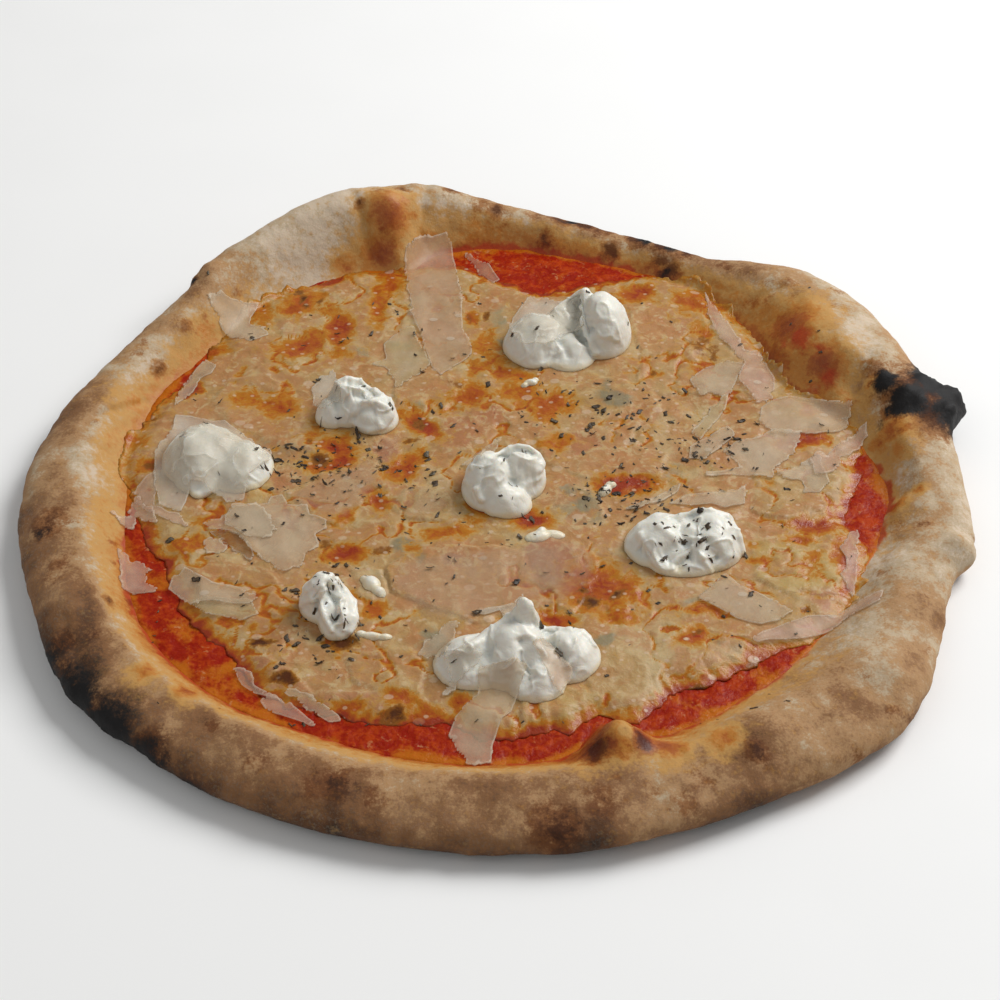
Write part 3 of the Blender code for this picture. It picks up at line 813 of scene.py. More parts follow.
@dataclass(frozen=True)
class DriedHerb:
    """Crumbled dried leaf, from grey green to nearly black."""

    leaf: Colour = (0.085, 0.052, 0.022)
    dark: Colour = (0.030, 0.018, 0.010)
    grey: Colour = (0.13, 0.105, 0.06)

    def material(self) -> bpy.types.Material:
        """The finish as a material. It reads shade from the points, one number a flake."""
        w = Wiring("dried_herb")
        colour = w.ramp(w.attribute("shade"), (0.0, self.dark), (0.5, self.leaf), (1.0, self.grey))
        colour = w.mix(w.step(w.noise(0.5, 1, 2), 0.35, 0.7), colour, self.dark)
        return w.shade(Base_Color=colour, Roughness=0.55, Normal=w.bump(w.noise(0.35, 2, 2), 0.1, 0.7))


@dataclass(frozen=True)
class PlainFloor:
    """A plain pale floor."""

    pale: Colour = (0.90, 0.90, 0.89)

    def material(self) -> bpy.types.Material:
        """The finish as a material, with a trace of unevenness in its gloss."""
        w = Wiring("plain_floor")
        return w.shade(Base_Color=self.pale, Roughness=w.step(w.noise(40, 1, 2), 0.3, 0.7, 0.7, 0.85))


# ---------------------------------------------------------------- the crust


@dataclass(frozen=True)
class Station:
    """The rim at one azimuth, in mm: outer radius, width and crest height, and how far out the
    crest lies as a share of the width."""

    azimuth: float
    outer: float
    width: float
    crest: float
    crest_at: float


@dataclass(frozen=True)
class Knob:
    """A narrow swelling of the rim: azimuth and spread in degrees, reach out and in in mm."""

    azimuth: float
    spread: float
    outwards: float
    inwards: float


@dataclass(frozen=True)
class Blister:
    """A bubble in the dough: azimuth, radius of its centre, its own radius and rise in mm."""

    azimuth: float
    at: float
    radius: float
    rise: float


@dataclass(frozen=True)
class Setback:
    """How far in mm the cheese stops short of the rim round one azimuth."""

    azimuth: float
    spread: float
    distance: float


@dataclass
class Rim:
    """The rim's form, in plan millimetres. Level runs over it from nought, at the outer foot,
    through 0.6, at the crest, to one, at the inner foot."""

    base: float = 3.2
    sauce_top: float = 5.05
    foot_power: float = 0.55
    shoulder_power: float = 0.85
    crest_level: float = 0.6
    stations: tuple[Station, ...] = (
        Station(0, 154, 29, 16, 0.53), Station(22, 157, 42, 21, 0.54), Station(33, 162, 54, 21, 0.64),
        Station(46, 164, 42, 18, 0.64), Station(60, 153, 21, 12, 0.64), Station(75, 156, 22, 12, 0.68),
        Station(90, 163, 23, 16, 0.62), Station(103, 171, 32, 26, 0.66), Station(115, 170, 33, 28, 0.7),
        Station(128, 166, 29, 23, 0.7), Station(142, 159, 28, 18, 0.66), Station(158, 159, 28, 16, 0.62),
        Station(172, 163, 36, 16, 0.58), Station(186, 164, 41, 16, 0.58), Station(200, 162, 35, 16, 0.5),
        Station(213, 164, 36, 15, 0.48), Station(227, 160, 35, 15, 0.5), Station(242, 157, 39, 14, 0.54),
        Station(260, 154, 38, 13, 0.52), Station(280, 154, 40, 14, 0.5), Station(300, 155, 42, 15, 0.52),
        Station(319, 160, 48, 16, 0.58), Station(332, 153, 38, 14, 0.58), Station(341, 150, 34, 14, 0.6),
        Station(351, 155, 35, 14, 0.6),
    )
    knobs: tuple[Knob, ...] = (
        Knob(14.5, 4, 10, 0), Knob(347, 2, 3, 0), Knob(133, 3, 2, 0), Knob(285, 4.5, 0, 12),
        Knob(107, 4, 0, 9),
    )
    blisters: tuple[Blister, ...] = (
        Blister(108, 150, 11, 4), Blister(107, 132, 10, 5), Blister(285, 121, 11, 8), Blister(10, 156, 10, 4),
        Blister(15, 143, 9, 3), Blister(347, 150, 7, 2.5), Blister(34, 126, 17, 4.5), Blister(21, 132, 8, -4),
        Blister(354, 131, 10, 2.5), Blister(136, 158, 7, 2.5), Blister(66, 145, 9, 2), Blister(83, 146, 8, 2),
        Blister(205, 150, 14, 2), Blister(236, 143, 13, 2), Blister(262, 139, 14, 1.6),
        Blister(303, 139, 15, 2.2), Blister(322, 146, 14, 2.4),
    )
    cheese_setback: float = 1.0
    wave_depth: float = 3.5
    climb: float = 2.6
    setbacks: tuple[Setback, ...] = (
        Setback(86, 13, 26), Setback(205, 17, 12), Setback(221, 9, 8), Setback(240, 9, 5),
        Setback(257, 9, 16), Setback(275, 9, 8.5), Setback(299, 10, 11), Setback(314, 9, 7),
        Setback(358, 10, 12), Setback(155, 8, 4),
    )

    def at(self, azimuth: Array) -> tuple[Array, Array, Array, Array]:
        """The rim at azimuths.

        Args:
            azimuth: degrees.

        Returns:
            Outer radius, width, crest height and the crest's distance from the inner edge.
        """
        places = np.array([station.azimuth for station in self.stations], float)
        rows = np.array([(s.outer, s.width, s.crest, s.crest_at) for s in self.stations], float)
        outer, width, crest, share = (round_curve(azimuth, places, rows[:, k]) for k in range(4))
        for knob in self.knobs:
            swell = around(azimuth, knob.azimuth, knob.spread)
            outer = outer + knob.outwards * swell
            width = width + (knob.outwards + knob.inwards) * swell
        return outer, width, crest, share * width

    def inner_edge(self, azimuth: Array) -> Array:
        """The radius where the inner slope meets the base."""
        outer, width, _, _ = self.at(azimuth)
        return outer - width

    def sauce_edge(self, azimuth: Array) -> Array:
        """The radius where the sauce meets the inner slope."""
        outer, width, crest, climb = self.at(azimuth)
        share = np.arccos(1 - 2 * (self.sauce_top - self.base) / (crest - self.base)) / math.pi
        return outer - width + share * climb

    def section(self, azimuth: Array, level: Array) -> tuple[Array, Array]:
        """The rim's outline before its lumps.

        Args:
            azimuth: degrees.
            level: from nought to one, over the rim.

        Returns:
            Radius and height.
        """
        outer, width, crest, climb = self.at(azimuth)
        inner = outer - width
        centre = inner + climb
        turn = math.pi * (np.minimum(level, self.crest_level) / self.crest_level - 0.5)
        power = np.where(turn < 0, self.foot_power, self.shoulder_power)
        outside = centre + (outer - centre) * np.maximum(0.0, np.cos(turn)) ** power
        outside_height = crest * (0.5 + 0.5 * np.sin(turn))
        share = np.clip((1 - level) / (1 - self.crest_level), 0, 1)
        inside_height = self.base + (crest - self.base) * (0.5 - 0.5 * np.cos(math.pi * share))
        over = level > self.crest_level
        radius = np.where(over, inner + climb * share, outside)
        return radius, np.where(over, inside_height, outside_height)

    def swelling(self, points: Array) -> Array:
        """How far in mm the dough's bubbles lift it at plan points."""
        rise = np.zeros(len(points))
        for one in self.blisters:
            turn = math.radians(one.azimuth)
            x, y = one.at * math.cos(turn), one.at * math.sin(turn)
            away = np.hypot(points[:, 0] - x, points[:, 1] - y)
            rise += one.rise * np.exp(-2 * (away / one.radius) ** 2)
        return rise

    def _short(self, azimuth: Array, least: float) -> Array:
        """How far in mm the cheese stops short at azimuths, where least is what it always does."""
        short = np.full(len(azimuth), least)
        for one in self.setbacks:
            short += one.distance * around(azimuth, one.azimuth, one.spread)
        return short

    def bareness(self, azimuth: Array) -> Array:
        """How bare the sauce lies at azimuths, from nought, under cheese, to one."""
        return eased(self._short(azimuth, 0.0), 1.5, 6.0)

    def cheese_edge(self, azimuth: Array) -> Array:
        """The melted cheese's radius in mm at azimuths."""
        short = self._short(azimuth, self.cheese_setback)
        waves = self.wave_depth * rough(polar(azimuth, 4.0, 1.7), 1.0)
        climb = self.climb * (1 - self.bareness(azimuth))
        return self.sauce_edge(azimuth) - short + waves + climb


class Mark(Enum):
    """What colours a spot of the crust. Each but pale is stored under its name; pale only lightens the bake
    and the oil.
    """

    SCORCH = "scorch"
    SOOT = "soot"
    OIL = "oil"
    SAUCE = "red"
    PALE = "pale"


@dataclass(frozen=True)
class Band:
    """How the crust is baked at one azimuth, from nought to one: the browning of its outside,
    its crown and its inner slope, the oil on the slope and the flour outside."""

    azimuth: float
    outside: float
    crown: float
    inside: float
    oil: float
    flour: float


@dataclass
class Crust:
    """The baked dough: a flat base and a puffed rim, lumpy, blistered and burnt in places.

    A mark is an azimuth, a level, a size in mm and a strength. A nodule is a small lump, given as
    a mark with its rise in mm last. A fold runs from one azimuth and level to another, with its
    half width and its rise in mm, below nought for a groove.
    """

    rim: Rim
    marks: dict[Mark, tuple[Spot, ...]]
    finish: BakedDough = BakedDough()
    segments: int = 900
    rings: int = 64
    base_rings: tuple[float, ...] = (0.30, 0.62, 0.86)
    foot_rings: tuple[float, ...] = (0.35, 0.70, 0.90)
    bands: tuple[Band, ...] = (
        Band(0, 0.3, 0.3, 0.26, 0.25, 0.2), Band(14, 0.45, 0.5, 0.45, 0.3, 0.1),
        Band(24, 0.4, 0.36, 0.34, 0.6, 0.2), Band(38, 0.4, 0.3, 0.34, 0.65, 0.2),
        Band(52, 0.6, 0.4, 0.28, 0.5, 0.2), Band(64, 1.05, 0.6, 0.34, 0.5, 0.2),
        Band(76, 1, 0.56, 0.28, 0.5, 0.2), Band(90, 0.6, 0.42, 0.2, 0.55, 0.2),
        Band(101, 0.45, 0.3, 0.2, 0.55, 0.2), Band(113, 0.4, 0.14, 0.1, 0.08, 0.2),
        Band(126, 0.5, 0.2, 0.16, 0.1, 0.2), Band(140, 0.66, 0.4, 0.3, 0.34, 0.3),
        Band(156, 0.7, 0.44, 0.24, 0.4, 0.4), Band(170, 0.74, 0.44, 0.18, 0.46, 0.6),
        Band(188, 0.8, 0.46, 0.18, 0.44, 0.8), Band(206, 0.86, 0.56, 0.22, 0.52, 0.8),
        Band(224, 0.84, 0.6, 0.24, 0.52, 0.7), Band(240, 0.82, 0.64, 0.28, 0.52, 0.6),
        Band(256, 0.78, 0.6, 0.24, 0.5, 0.5), Band(272, 0.74, 0.56, 0.22, 0.5, 0.4),
        Band(279, 0.7, 0.52, 0.24, 0.6, 0.4), Band(285, 0.68, 0.54, 0.44, 1, 0.4),
        Band(292, 0.66, 0.5, 0.28, 0.6, 0.3), Band(302, 0.56, 0.46, 0.3, 0.4, 0.3),
        Band(320, 0.44, 0.42, 0.28, 0.16, 0.3), Band(338, 0.32, 0.26, 0.16, 0.06, 0.3),
    )
    nodules: tuple[Spot, ...] = (
        (17, 0.52, 5, 1.9), (14.2, 0.42, 5.4, 2.2), (12.6, 0.58, 4.6, 1.4), (11, 0.46, 4.2, 1.3),
        (19.2, 0.6, 3.2, 1), (16, 0.66, 3.2, 0.9), (13.6, 0.3, 4, 1.2), (215, 0.3, 7, 0.9),
        (222, 0.28, 6, 0.7), (138, 0.48, 3.4, 1), (350, 0.36, 3, 0.8), (299.5, 0.53, 4.4, 0.4),
        (283.5, 0.93, 4, 0.8), (288.5, 0.92, 3.2, 0.7), (205, 0.7, 3, 0.5), (192.5, 0.83, 3, 0.6),
        (154, 0.78, 3.4, 0.5), (145.5, 0.72, 3.6, 0.5),
    )
    folds: tuple[tuple[float, float, float, float, float, float], ...] = (
        (168.5, 0.66, 160, 0.86, 1.3, -0.9), (171, 0.6, 166, 0.72, 1.2, -0.7), (41, 0.5, 47, 0.78, 1.6, -0.6),
        (44, 0.46, 50, 0.7, 1.4, -0.6), (36, 0.48, 38, 0.62, 1.5, -0.5), (24, 0.58, 20.5, 0.78, 2.6, -1.3),
        (101, 0.55, 103.5, 0.86, 2, -1), (112.5, 0.62, 111.5, 0.88, 2.2, -1.2),
        (96, 0.6, 90, 0.66, 1.8, -0.6), (82, 0.52, 76, 0.58, 1.6, -0.5), (323, 0.5, 334, 0.4, 2.2, -0.7),
        (315, 0.36, 322, 0.3, 2, -0.6), (240, 0.44, 252, 0.4, 2.2, -0.6), (262, 0.36, 276, 0.34, 2.4, -0.5),
        (279, 0.96, 284.5, 0.72, 1.5, -0.9), (291, 0.98, 286, 0.72, 1.5, -0.8),
        (207, 0.5, 216, 0.48, 2, -0.6), (183, 0.42, 190, 0.44, 2, -0.5),
    )

    def build(self) -> Thing:
        """Shapes, paints and dresses the crust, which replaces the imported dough."""
        crust = Bench.ball("crust", self.segments, self.rings)
        azimuth, level, plan = self._shape(crust)
        self._paint(crust, azimuth, level, plan)
        Bench.dress(crust, self.finish.material(), "dough")
        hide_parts("dough")
        return crust

    def place(self, azimuth: float, level: float) -> Array:
        """The plan point in mm at an azimuth and a level, before the lumps."""
        radius, height = self.rim.section(np.array([azimuth]), np.array([level]))
        return polar(np.array([azimuth]), radius, height)[0]

    def _even_levels(self, azimuths: Array, count: int) -> Array:
        """Levels that lie evenly along the section.

        Args:
            azimuths: the azimuth of each section, in degrees.
            count: how many levels, from the inner foot to the outer one.

        Returns:
            One row for each azimuth.
        """
        fine = np.concatenate((np.linspace(0, 0.1, 40), np.linspace(0.1, 1, 140)[1:]))
        levels = np.empty((len(azimuths), count))
        for row, azimuth in enumerate(azimuths):
            radius, height = self.rim.section(np.full(len(fine), azimuth), fine)
            length = np.concatenate(((0.0,), np.cumsum(np.hypot(np.diff(radius), np.diff(height)))))
            levels[row] = np.interp(np.linspace(length[-1], 0, count), length, fine)
        return levels

    def _shape(self, crust: Thing) -> tuple[Array, Array, Array]:
        """Turns the sphere into the crust.

        Args:
            crust: the sphere, whose upper pole becomes the middle of the base's upper face.

        Returns:
            The azimuth and level of each point, and its plan position in mm.
        """
        ball = Bench.points(crust)
        ring = np.rint(np.arccos(np.clip(ball[:, 2], -1, 1)) / math.pi * self.rings).astype(int)
        step = 360 / self.segments
        column = np.rint(np.degrees(np.arctan2(ball[:, 1], ball[:, 0])) / step).astype(int)
        column %= self.segments
        azimuths = np.arange(self.segments) * step
        first = len(self.base_rings) + 1
        count = self.rings - 1 - len(self.base_rings) - len(self.foot_rings)
        levels = self._even_levels(azimuths, count)
        azimuth = azimuths[column]
        on_rim = (ring >= first) & (ring < first + count)
        level = np.where(ring < first, 1.0, 0.0)
        level[on_rim] = levels[column[on_rim], ring[on_rim] - first]
        radius, height = self.rim.section(azimuth, level)
        shares = np.array((0.0, *self.base_rings))
        inside = ring < first
        radius[inside] *= shares[ring[inside]]
        height[inside] = self.rim.base
        shares = np.array((*reversed(self.foot_rings), 0.0))
        under = ring >= first + count
        radius[under] *= shares[ring[under] - first - count]
        height[under] = 0.0
        plan = self._lump(crust, azimuth, level, polar(azimuth, radius, height))
        Bench.place(crust, Plan.metres(plan))
        return azimuth, level, plan

    def _lump(self, crust: Thing, azimuth: Array, level: Array, plan: Array) -> Array:
        """Raises the rim's bubbles, folds and fine unevenness.

        Args:
            crust: the crust so far.
            azimuth: each point's azimuth.
            level: each point's level.
            plan: each point's plan position in mm.

        Returns:
            The new plan positions.
        """
        width = self.rim.at(azimuth)[1]
        inner = self.rim.inner_edge(azimuth) + 2.0
        radius = np.hypot(plan[:, 0], plan[:, 1])
        share = np.clip((radius - inner) / (0.2 * width), 0, 1) * eased(plan[:, 2], 1.5, 6.0)
        lifted = plan.copy()
        lifted[:, 2] += share * (self.rim.swelling(plan) + 1.1 * rough(plan, 30))
        Bench.place(crust, Plan.metres(lifted))
        normals = Bench.normals(crust)
        push = 0.55 * rough(lifted, 11, 3, 2) + 0.26 * rough(lifted, 4.2, 4, 2)
        push += 0.5 * np.abs(rough(lifted, 19, 6))
        for at, over, size, rise in self.nodules:
            away = np.linalg.norm(lifted - self._near(lifted, at, over), axis=1) / size
            push += rise * np.maximum(0.0, 1 - away**2) ** 1.5
        for start, start_level, end, end_level, size, rise in self.folds:
            away = self._off_line(lifted, (start, start_level), (end, end_level))
            push += rise * np.exp(-((away / size) ** 2))
        charred = self._spots(lifted, Mark.SOOT)
        push += charred * (0.9 * np.abs(rough(lifted, 2.6, 8, 2)) - 0.15)
        return lifted + normals * (push * share * eased(level, 1.0, 0.93))[:, None]

    def _near(self, plan: Array, azimuth: float, level: float) -> Array:
        """The point of the lumpy crust nearest to an azimuth and level."""
        place = self.place(azimuth, level)
        return plan[np.argmin(((plan - place) ** 2).sum(1))]

    def _off_line(self, plan: Array, start: tuple[float, float], end: tuple[float, float]) -> Array:
        """Distances in mm from a line over the crust, given by the azimuth and level of its ends."""
        steps = 5
        nodes = []
        for k in range(steps + 1):
            azimuth = start[0] + (end[0] - start[0]) * k / steps
            nodes.append(self._near(plan, azimuth, start[1] + (end[1] - start[1]) * k / steps))
        moved = wandering(plan, 9, 1.6, 31)
        best = np.full(len(plan), 99.0)
        for a, b in zip(nodes, nodes[1:]):
            along = b - a
            t = np.clip(((moved - a) @ along) / max(1e-9, along @ along), 0, 1)
            best = np.minimum(best, np.linalg.norm(moved - a - t[:, None] * along, axis=1))
        return best

    def _spots(self, plan: Array, mark: Mark) -> Array:
        """How strongly a kind of mark colours each point."""
        moved = wandering(plan, 7, 1.8, 41)
        moved = wandering(moved, 2.4, 0.7, 43)
        found = np.zeros(len(plan))
        power = 2.4 if mark is Mark.SOOT else 1.7
        for azimuth, level, size, strength in self.marks.get(mark, ()):
            away = np.linalg.norm(moved - self._near(plan, azimuth, level), axis=1) / size
            found = np.maximum(found, strength * np.exp(-0.8 * away**power))
        return found

    def _paint(self, crust: Thing, azimuth: Array, level: Array, plan: Array) -> None:
        """Stores how the crust is browned, scorched, floured and stained.

        Args:
            crust: the shaped crust.
            azimuth: each point's azimuth.
            level: each point's level.
            plan: each point's plan position in mm.
        """
        places = np.array([band.azimuth for band in self.bands], float)
        outside, crown, inside, oil, flour = (
            round_curve(azimuth, places, np.array([getattr(band, key) for band in self.bands]))
            for key in ("outside", "crown", "inside", "oil", "flour")
        )
        pale = self._spots(plan, Mark.PALE)
        at = level + 0.05 * rough(plan, 16, 51, 2)
        up = eased(at, 0.24, 0.50)
        over = eased(at, 0.56, 0.74)
        bake = outside * (1 - up) + crown * up * (1 - over) + inside * over
        bake += 0.36 * eased(at, 0.34, 0.04)
        bake += 0.26 * rough(plan, 26, 52, 2) + 0.14 * rough(plan, 8, 56, 2)
        bake -= 0.30 * pale
        edge = 3.4 + 2.4 * rough(plan, 15, 53)
        inner = self.rim.sauce_edge(azimuth)
        radius = np.hypot(plan[:, 0], plan[:, 1])
        foot = eased(radius - inner, 2.2 * edge, 0.2 * edge) * eased(level, 0.60, 0.72)
        slope = eased(at, 0.62, 0.80)
        stained = np.maximum(oil * foot * 1.35, 0.85 * oil * slope)
        stained = np.maximum(stained, self._spots(plan, Mark.OIL))
        Bench.paint(crust, "bake", bake)
        Bench.paint(crust, "oil", stained * (1 - 0.7 * pale))
        dusted = flour * eased(at, 0.66, 0.42) * (0.75 + 0.5 * rough(plan, 18, 54))
        Bench.paint(crust, "flour", dusted)
        Bench.paint(crust, "scorch", self._spots(plan, Mark.SCORCH))
        Bench.paint(crust, "soot", self._spots(plan, Mark.SOOT))
        bare = self.rim.bareness(azimuth)
        smeared = 0.95 * bare * eased(radius - inner + 2.0 * rough(plan, 5, 55, 2), 2.4, -0.6)
        Bench.paint(crust, "red", np.maximum(self._spots(plan, Mark.SAUCE), smeared))


# ---------------------------------------------------------------- sauce


def disc(obj: Thing) -> tuple[Array, Array]:
    """Turns a square grid's points into shares of a disc, evenly spread.

    Args:
        obj: the grid, from -1 to 1.

    Returns:
        The azimuth in degrees and the share of the radius of each point.
    """
    square = Bench.points(obj)
    x, y = square[:, 0], square[:, 1]
    wide = np.abs(x) >= np.abs(y)
    radius = np.where(wide, x, y)
    with np.errstate(divide="ignore", invalid="ignore"):
        turn = np.where(wide, math.pi / 4 * y / x, math.pi / 2 - math.pi / 4 * x / y)
    turn = np.where(np.abs(radius) < 1e-9, 0.0, turn)
    px, py = radius * np.cos(turn), radius * np.sin(turn)
    return np.degrees(np.arctan2(py, px)) % 360, np.hypot(px, py)


def close_below(obj: Thing, bottom: float, inset: float) -> None:
    """Closes an open sheet underneath: its border is extruded down and in, and filled.

    Args:
        obj: the sheet, its border at its lowest.
        bottom: the height of its underside in mm.
        inset: how far in its underside starts in mm.
    """
    Bench.hold(obj)
    bpy.ops.object.mode_set(mode="EDIT")
    bpy.ops.mesh.select_mode(type="EDGE")
    bpy.ops.mesh.select_all(action="DESELECT")
    bpy.ops.mesh.select_non_manifold()
    bpy.ops.mesh.extrude_edges_move()
    bpy.ops.object.mode_set(mode="OBJECT")
    chosen = np.zeros(len(obj.data.vertices), bool)
    obj.data.vertices.foreach_get("select", chosen)
    plan = Plan.millimetres(Bench.points(obj))
    ring = plan[chosen]
    ring[:, :2] *= (1 - inset / np.hypot(ring[:, 0], ring[:, 1]))[:, None]
    ring[:, 2] = bottom
    plan[chosen] = ring
    Bench.place(obj, Plan.metres(plan))
    bpy.ops.object.mode_set(mode="EDIT")
    bpy.ops.mesh.edge_face_add()
    bpy.ops.mesh.select_all(action="SELECT")
    bpy.ops.mesh.normals_make_consistent(inside=False)
    bpy.ops.object.mode_set(mode="OBJECT")


@dataclass
class SauceLayer:
    """Tomato sauce, thick and lumpy where the cheese leaves it bare."""

    rim: Rim
    finish: TomatoSauce = TomatoSauce()
    divisions: int = 250
    bottom: float = 3.55
    buried: float = 1.4
    lump: float = 0.75
    lip: float = 0.5
    inset: float = 2.0

    def build(self) -> Thing:
        """Shapes, paints and dresses the sauce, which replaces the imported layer."""
        sauce = Bench.grid("sauce", self.divisions, self.divisions)
        azimuth, share = disc(sauce)
        edge = self.rim.sauce_edge(azimuth) + self.buried
        radius = edge * share
        plan = polar(azimuth, radius, self.rim.sauce_top)
        bare = eased(radius - self.rim.cheese_edge(azimuth), -5.0, 1.0)
        lumps = 0.55 * rough(plan, 5.5, 61, 2) + 0.35 * np.abs(rough(plan, 2.6, 62))
        plan[:, 2] += bare * self.lump * (lumps + 0.5 * rough(plan, 14, 63))
        plan[:, 2] = np.where(share > 0.9995, self.bottom + self.lip, plan[:, 2])
        Bench.place(sauce, Plan.metres(plan))
        oil = eased(edge - radius, 5.5, 1.5) * 0.6 + 0.9 * rough(plan, 13, 64, 2)
        Bench.paint(sauce, "oil", oil)
        close_below(sauce, self.bottom, self.inset)
        Bench.dress(sauce, self.finish.material(), "tomato_sauce")
        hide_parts("tomato_sauce")
        return sauce


# ---------------------------------------------------------------- melted cheese


@dataclass(frozen=True)
class Piece:
    """One piece of the melted sheet that can still be made out: its tone, how far it stands up
    in mm, and its outline as plan points in mm."""

    tone: Tone
    lift: float
    outline: Line


class Pool(Enum):
    """What lies in a patch of the melted cheese. Baked spots and veins are stored under their names; amber,
    orange and red go into the oil.
    """

    AMBER = "amber"
    ORANGE = "orange"
    RED = "red"
    BAKED = "baked"
    VEIN = "vein"


Patch = tuple[float, float, float, float, float, float]


def outline_depth(x: Array, y: Array, outline: Line) -> Array:
    """How deep points lie inside an outline.

    Args:
        x: plan positions in mm.
        y: plan positions in mm.
        outline: its corners in order.

    Returns:
        The distance to the outline in mm, below nought outside it.
    """
    best = np.full(len(x), 1e9)
    inside = np.zeros(len(x), bool)
    for (ax, ay), (bx, by) in zip(outline, outline[1:] + outline[:1]):
        dx, dy = bx - ax, by - ay
        t = np.clip(((x - ax) * dx + (y - ay) * dy) / max(1e-9, dx * dx + dy * dy), 0, 1)
        best = np.minimum(best, np.hypot(x - ax - t * dx, y - ay - t * dy))
        if ay != by:
            inside ^= ((ay > y) != (by > y)) & (x < ax + (y - ay) * dx / dy)
    return np.where(inside, best, -best)


def patch_strength(points: Array, patches: Sequence[Patch]) -> Array:
    """How strongly oval patches cover points.

    Args:
        points: plan points in mm.
        patches: centre, half length and half width in mm, heading in degrees and strength.

    Returns:
        One number a point.
    """
    found = np.zeros(len(points))
    for px, py, along, across, heading, strength in patches:
        turn = math.radians(heading)
        dx, dy = points[:, 0] - px, points[:, 1] - py
        u = (dx * math.cos(turn) + dy * math.sin(turn)) / along
        v = (dy * math.cos(turn) - dx * math.sin(turn)) / across
        found = np.maximum(found, strength * np.exp(-0.9 * (u * u + v * v) ** 1.3))
    return found


@dataclass
class CheeseSheet:
    """The melted cheese: pieces that ran together, with oil in the seams and baked spots."""

    rim: Rim
    pieces: tuple[Piece, ...]
    patches: dict[Pool, tuple[Patch, ...]]
    finish: MeltedCheese = MeltedCheese()
    divisions: int = 290
    bottom: float = 5.15
    thickness: float = 2.0
    tuck: float = 0.25
    inset: float = 0.15
    seam_heat: float = 0.6
    heats: tuple[tuple[Pool, float], ...] = (
        (Pool.AMBER, 0.60),
        (Pool.ORANGE, 0.82),
        (Pool.RED, 1.02),
        (Pool.BAKED, 0.60),
    )

    def build(self, surface: Surface) -> Thing:
        """Shapes, paints and dresses the sheet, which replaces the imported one.

        Args:
            surface: the sauce and the crust under it.

        Returns:
            The finished sheet.
        """
        sheet = Bench.grid("cheese_sheet", self.divisions, self.divisions)
        azimuth, share = disc(sheet)
        edge = self.rim.cheese_edge(azimuth)
        ring = polar(azimuth, 1.0, 0.0)
        ragged = 2.4 * rough(ring * 120, 7, 71, 2) + 0.9 * rough(ring * 120, 2.2, 72, 2)
        radius = edge * share + ragged * share**8
        plan = ring * radius[:, None]
        inward = edge * (1 - share)
        tone, lift, border = self._laid(plan)
        stirred = wandering(wandering(plan, 10, 2.8, 81), 3.2, 1.0, 83)
        masks = {kind: patch_strength(stirred, self.patches.get(kind, ())) for kind in Pool}
        seams = eased(np.abs(rough(stirred, 21, 75, 3)), 0.09, 0.0) * eased(rough(plan, 30, 78), -0.4, 0.15)
        heats = [strength * masks[kind] for kind, strength in self.heats]
        heat = np.maximum.reduce([*heats, self.seam_heat * seams])
        wet = np.clip(1.4 * heat, 0, 1)
        height = self.bottom + self.thickness * (0.05 + 0.95 * eased(inward, -1.0, 9.0))
        relief = 0.75 * (rough(plan, 16, 73) + 0.25) + 0.30 * rough(plan, 5.0, 74, 2)
        relief += lift * (1 - 0.75 * wet) - 0.55 * wet
        plan[:, 2] = height + relief * eased(inward, 1.0, 8.0)
        bed = surface.at(plan[:, 0], plan[:, 1])
        on_slope = eased(bed, self.bottom - 0.4, self.bottom + 0.6)
        plan[:, 2] = np.maximum(plan[:, 2], bed + 0.08 + 0.75 * eased(inward, 0.0, 6.0) * on_slope)
        Bench.place(sheet, Plan.metres(plan))
        thin = eased(inward + 2.2 * rough(plan, 6, 76, 2), 7.0, 0.5)
        Bench.tint(sheet, "tone", tone)
        Bench.paint(sheet, "border", border)
        bare = self.rim.bareness(azimuth)
        rusty = eased(inward + 2.6 * rough(plan, 5, 77, 2), 5.0, 0.3)
        oil = np.maximum.reduce((heat, (0.30 + 0.20 * bare) * thin, 0.85 * rusty * bare))
        Bench.paint(sheet, "oil", oil)
        Bench.paint(sheet, "baked", masks[Pool.BAKED])
        Bench.paint(sheet, "vein", masks[Pool.VEIN])
        close_below(sheet, self.bottom - self.tuck, self.inset)
        Bench.dress(sheet, self.finish.material(), "melted_cheese")
        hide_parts("melted_cheese")
        return sheet

    def _laid(self, plan: Array) -> tuple[Array, Array, Array]:
        """Lays the pieces of the sheet.

        Args:
            plan: plan points in mm.

        Returns:
            The tone of each point, how far its piece lifts it in mm, and how near it is to a
            piece's border, from nought to one.
        """
        moved = wandering(wandering(plan, 13, 2.4, 91), 3.4, 0.8, 93)
        straw = eased(rough(moved, 17, 95, 3), -0.25, 0.30)[:, None]
        tone = (1 - straw) * np.array(Tone.PEACH.value) + straw * np.array(Tone.STRAW.value)
        creamy = 0.6 * eased(rough(moved, 12, 96, 3), 0.05, 0.45)[:, None]
        tone = (1 - creamy) * tone + creamy * np.array(Tone.CREAM.value)
        lift = 0.7 * rough(moved, 14, 97, 2)
        border = np.zeros(len(plan))
        for piece in self.pieces:
            depth = outline_depth(moved[:, 0], moved[:, 1], piece.outline)
            cover = 0.8 * eased(depth, -1.2, 1.8)
            tone = tone * (1 - cover[:, None]) + np.array(piece.tone.value) * cover[:, None]
            cover = eased(depth, -0.6, 0.6)
            lift = lift * (1 - cover) + piece.lift * (0.9 + 0.35 * np.exp(-((depth / 1.3) ** 2))) * cover
            border = np.maximum(border * (1 - cover), np.exp(-(((depth - 0.35) / 0.75) ** 2)))
        return tone, lift, border


# ---------------------------------------------------------------- soft cheese


@dataclass(frozen=True)
class Lobe:
    """A rounded part of a spoonful: its middle, half length, half width and height in mm, how
    pointed its sides are (a half is round) and its heading in degrees."""

    x: float
    y: float
    along: float
    across: float
    height: float
    taper: float = 0.58
    heading: float = 0.0


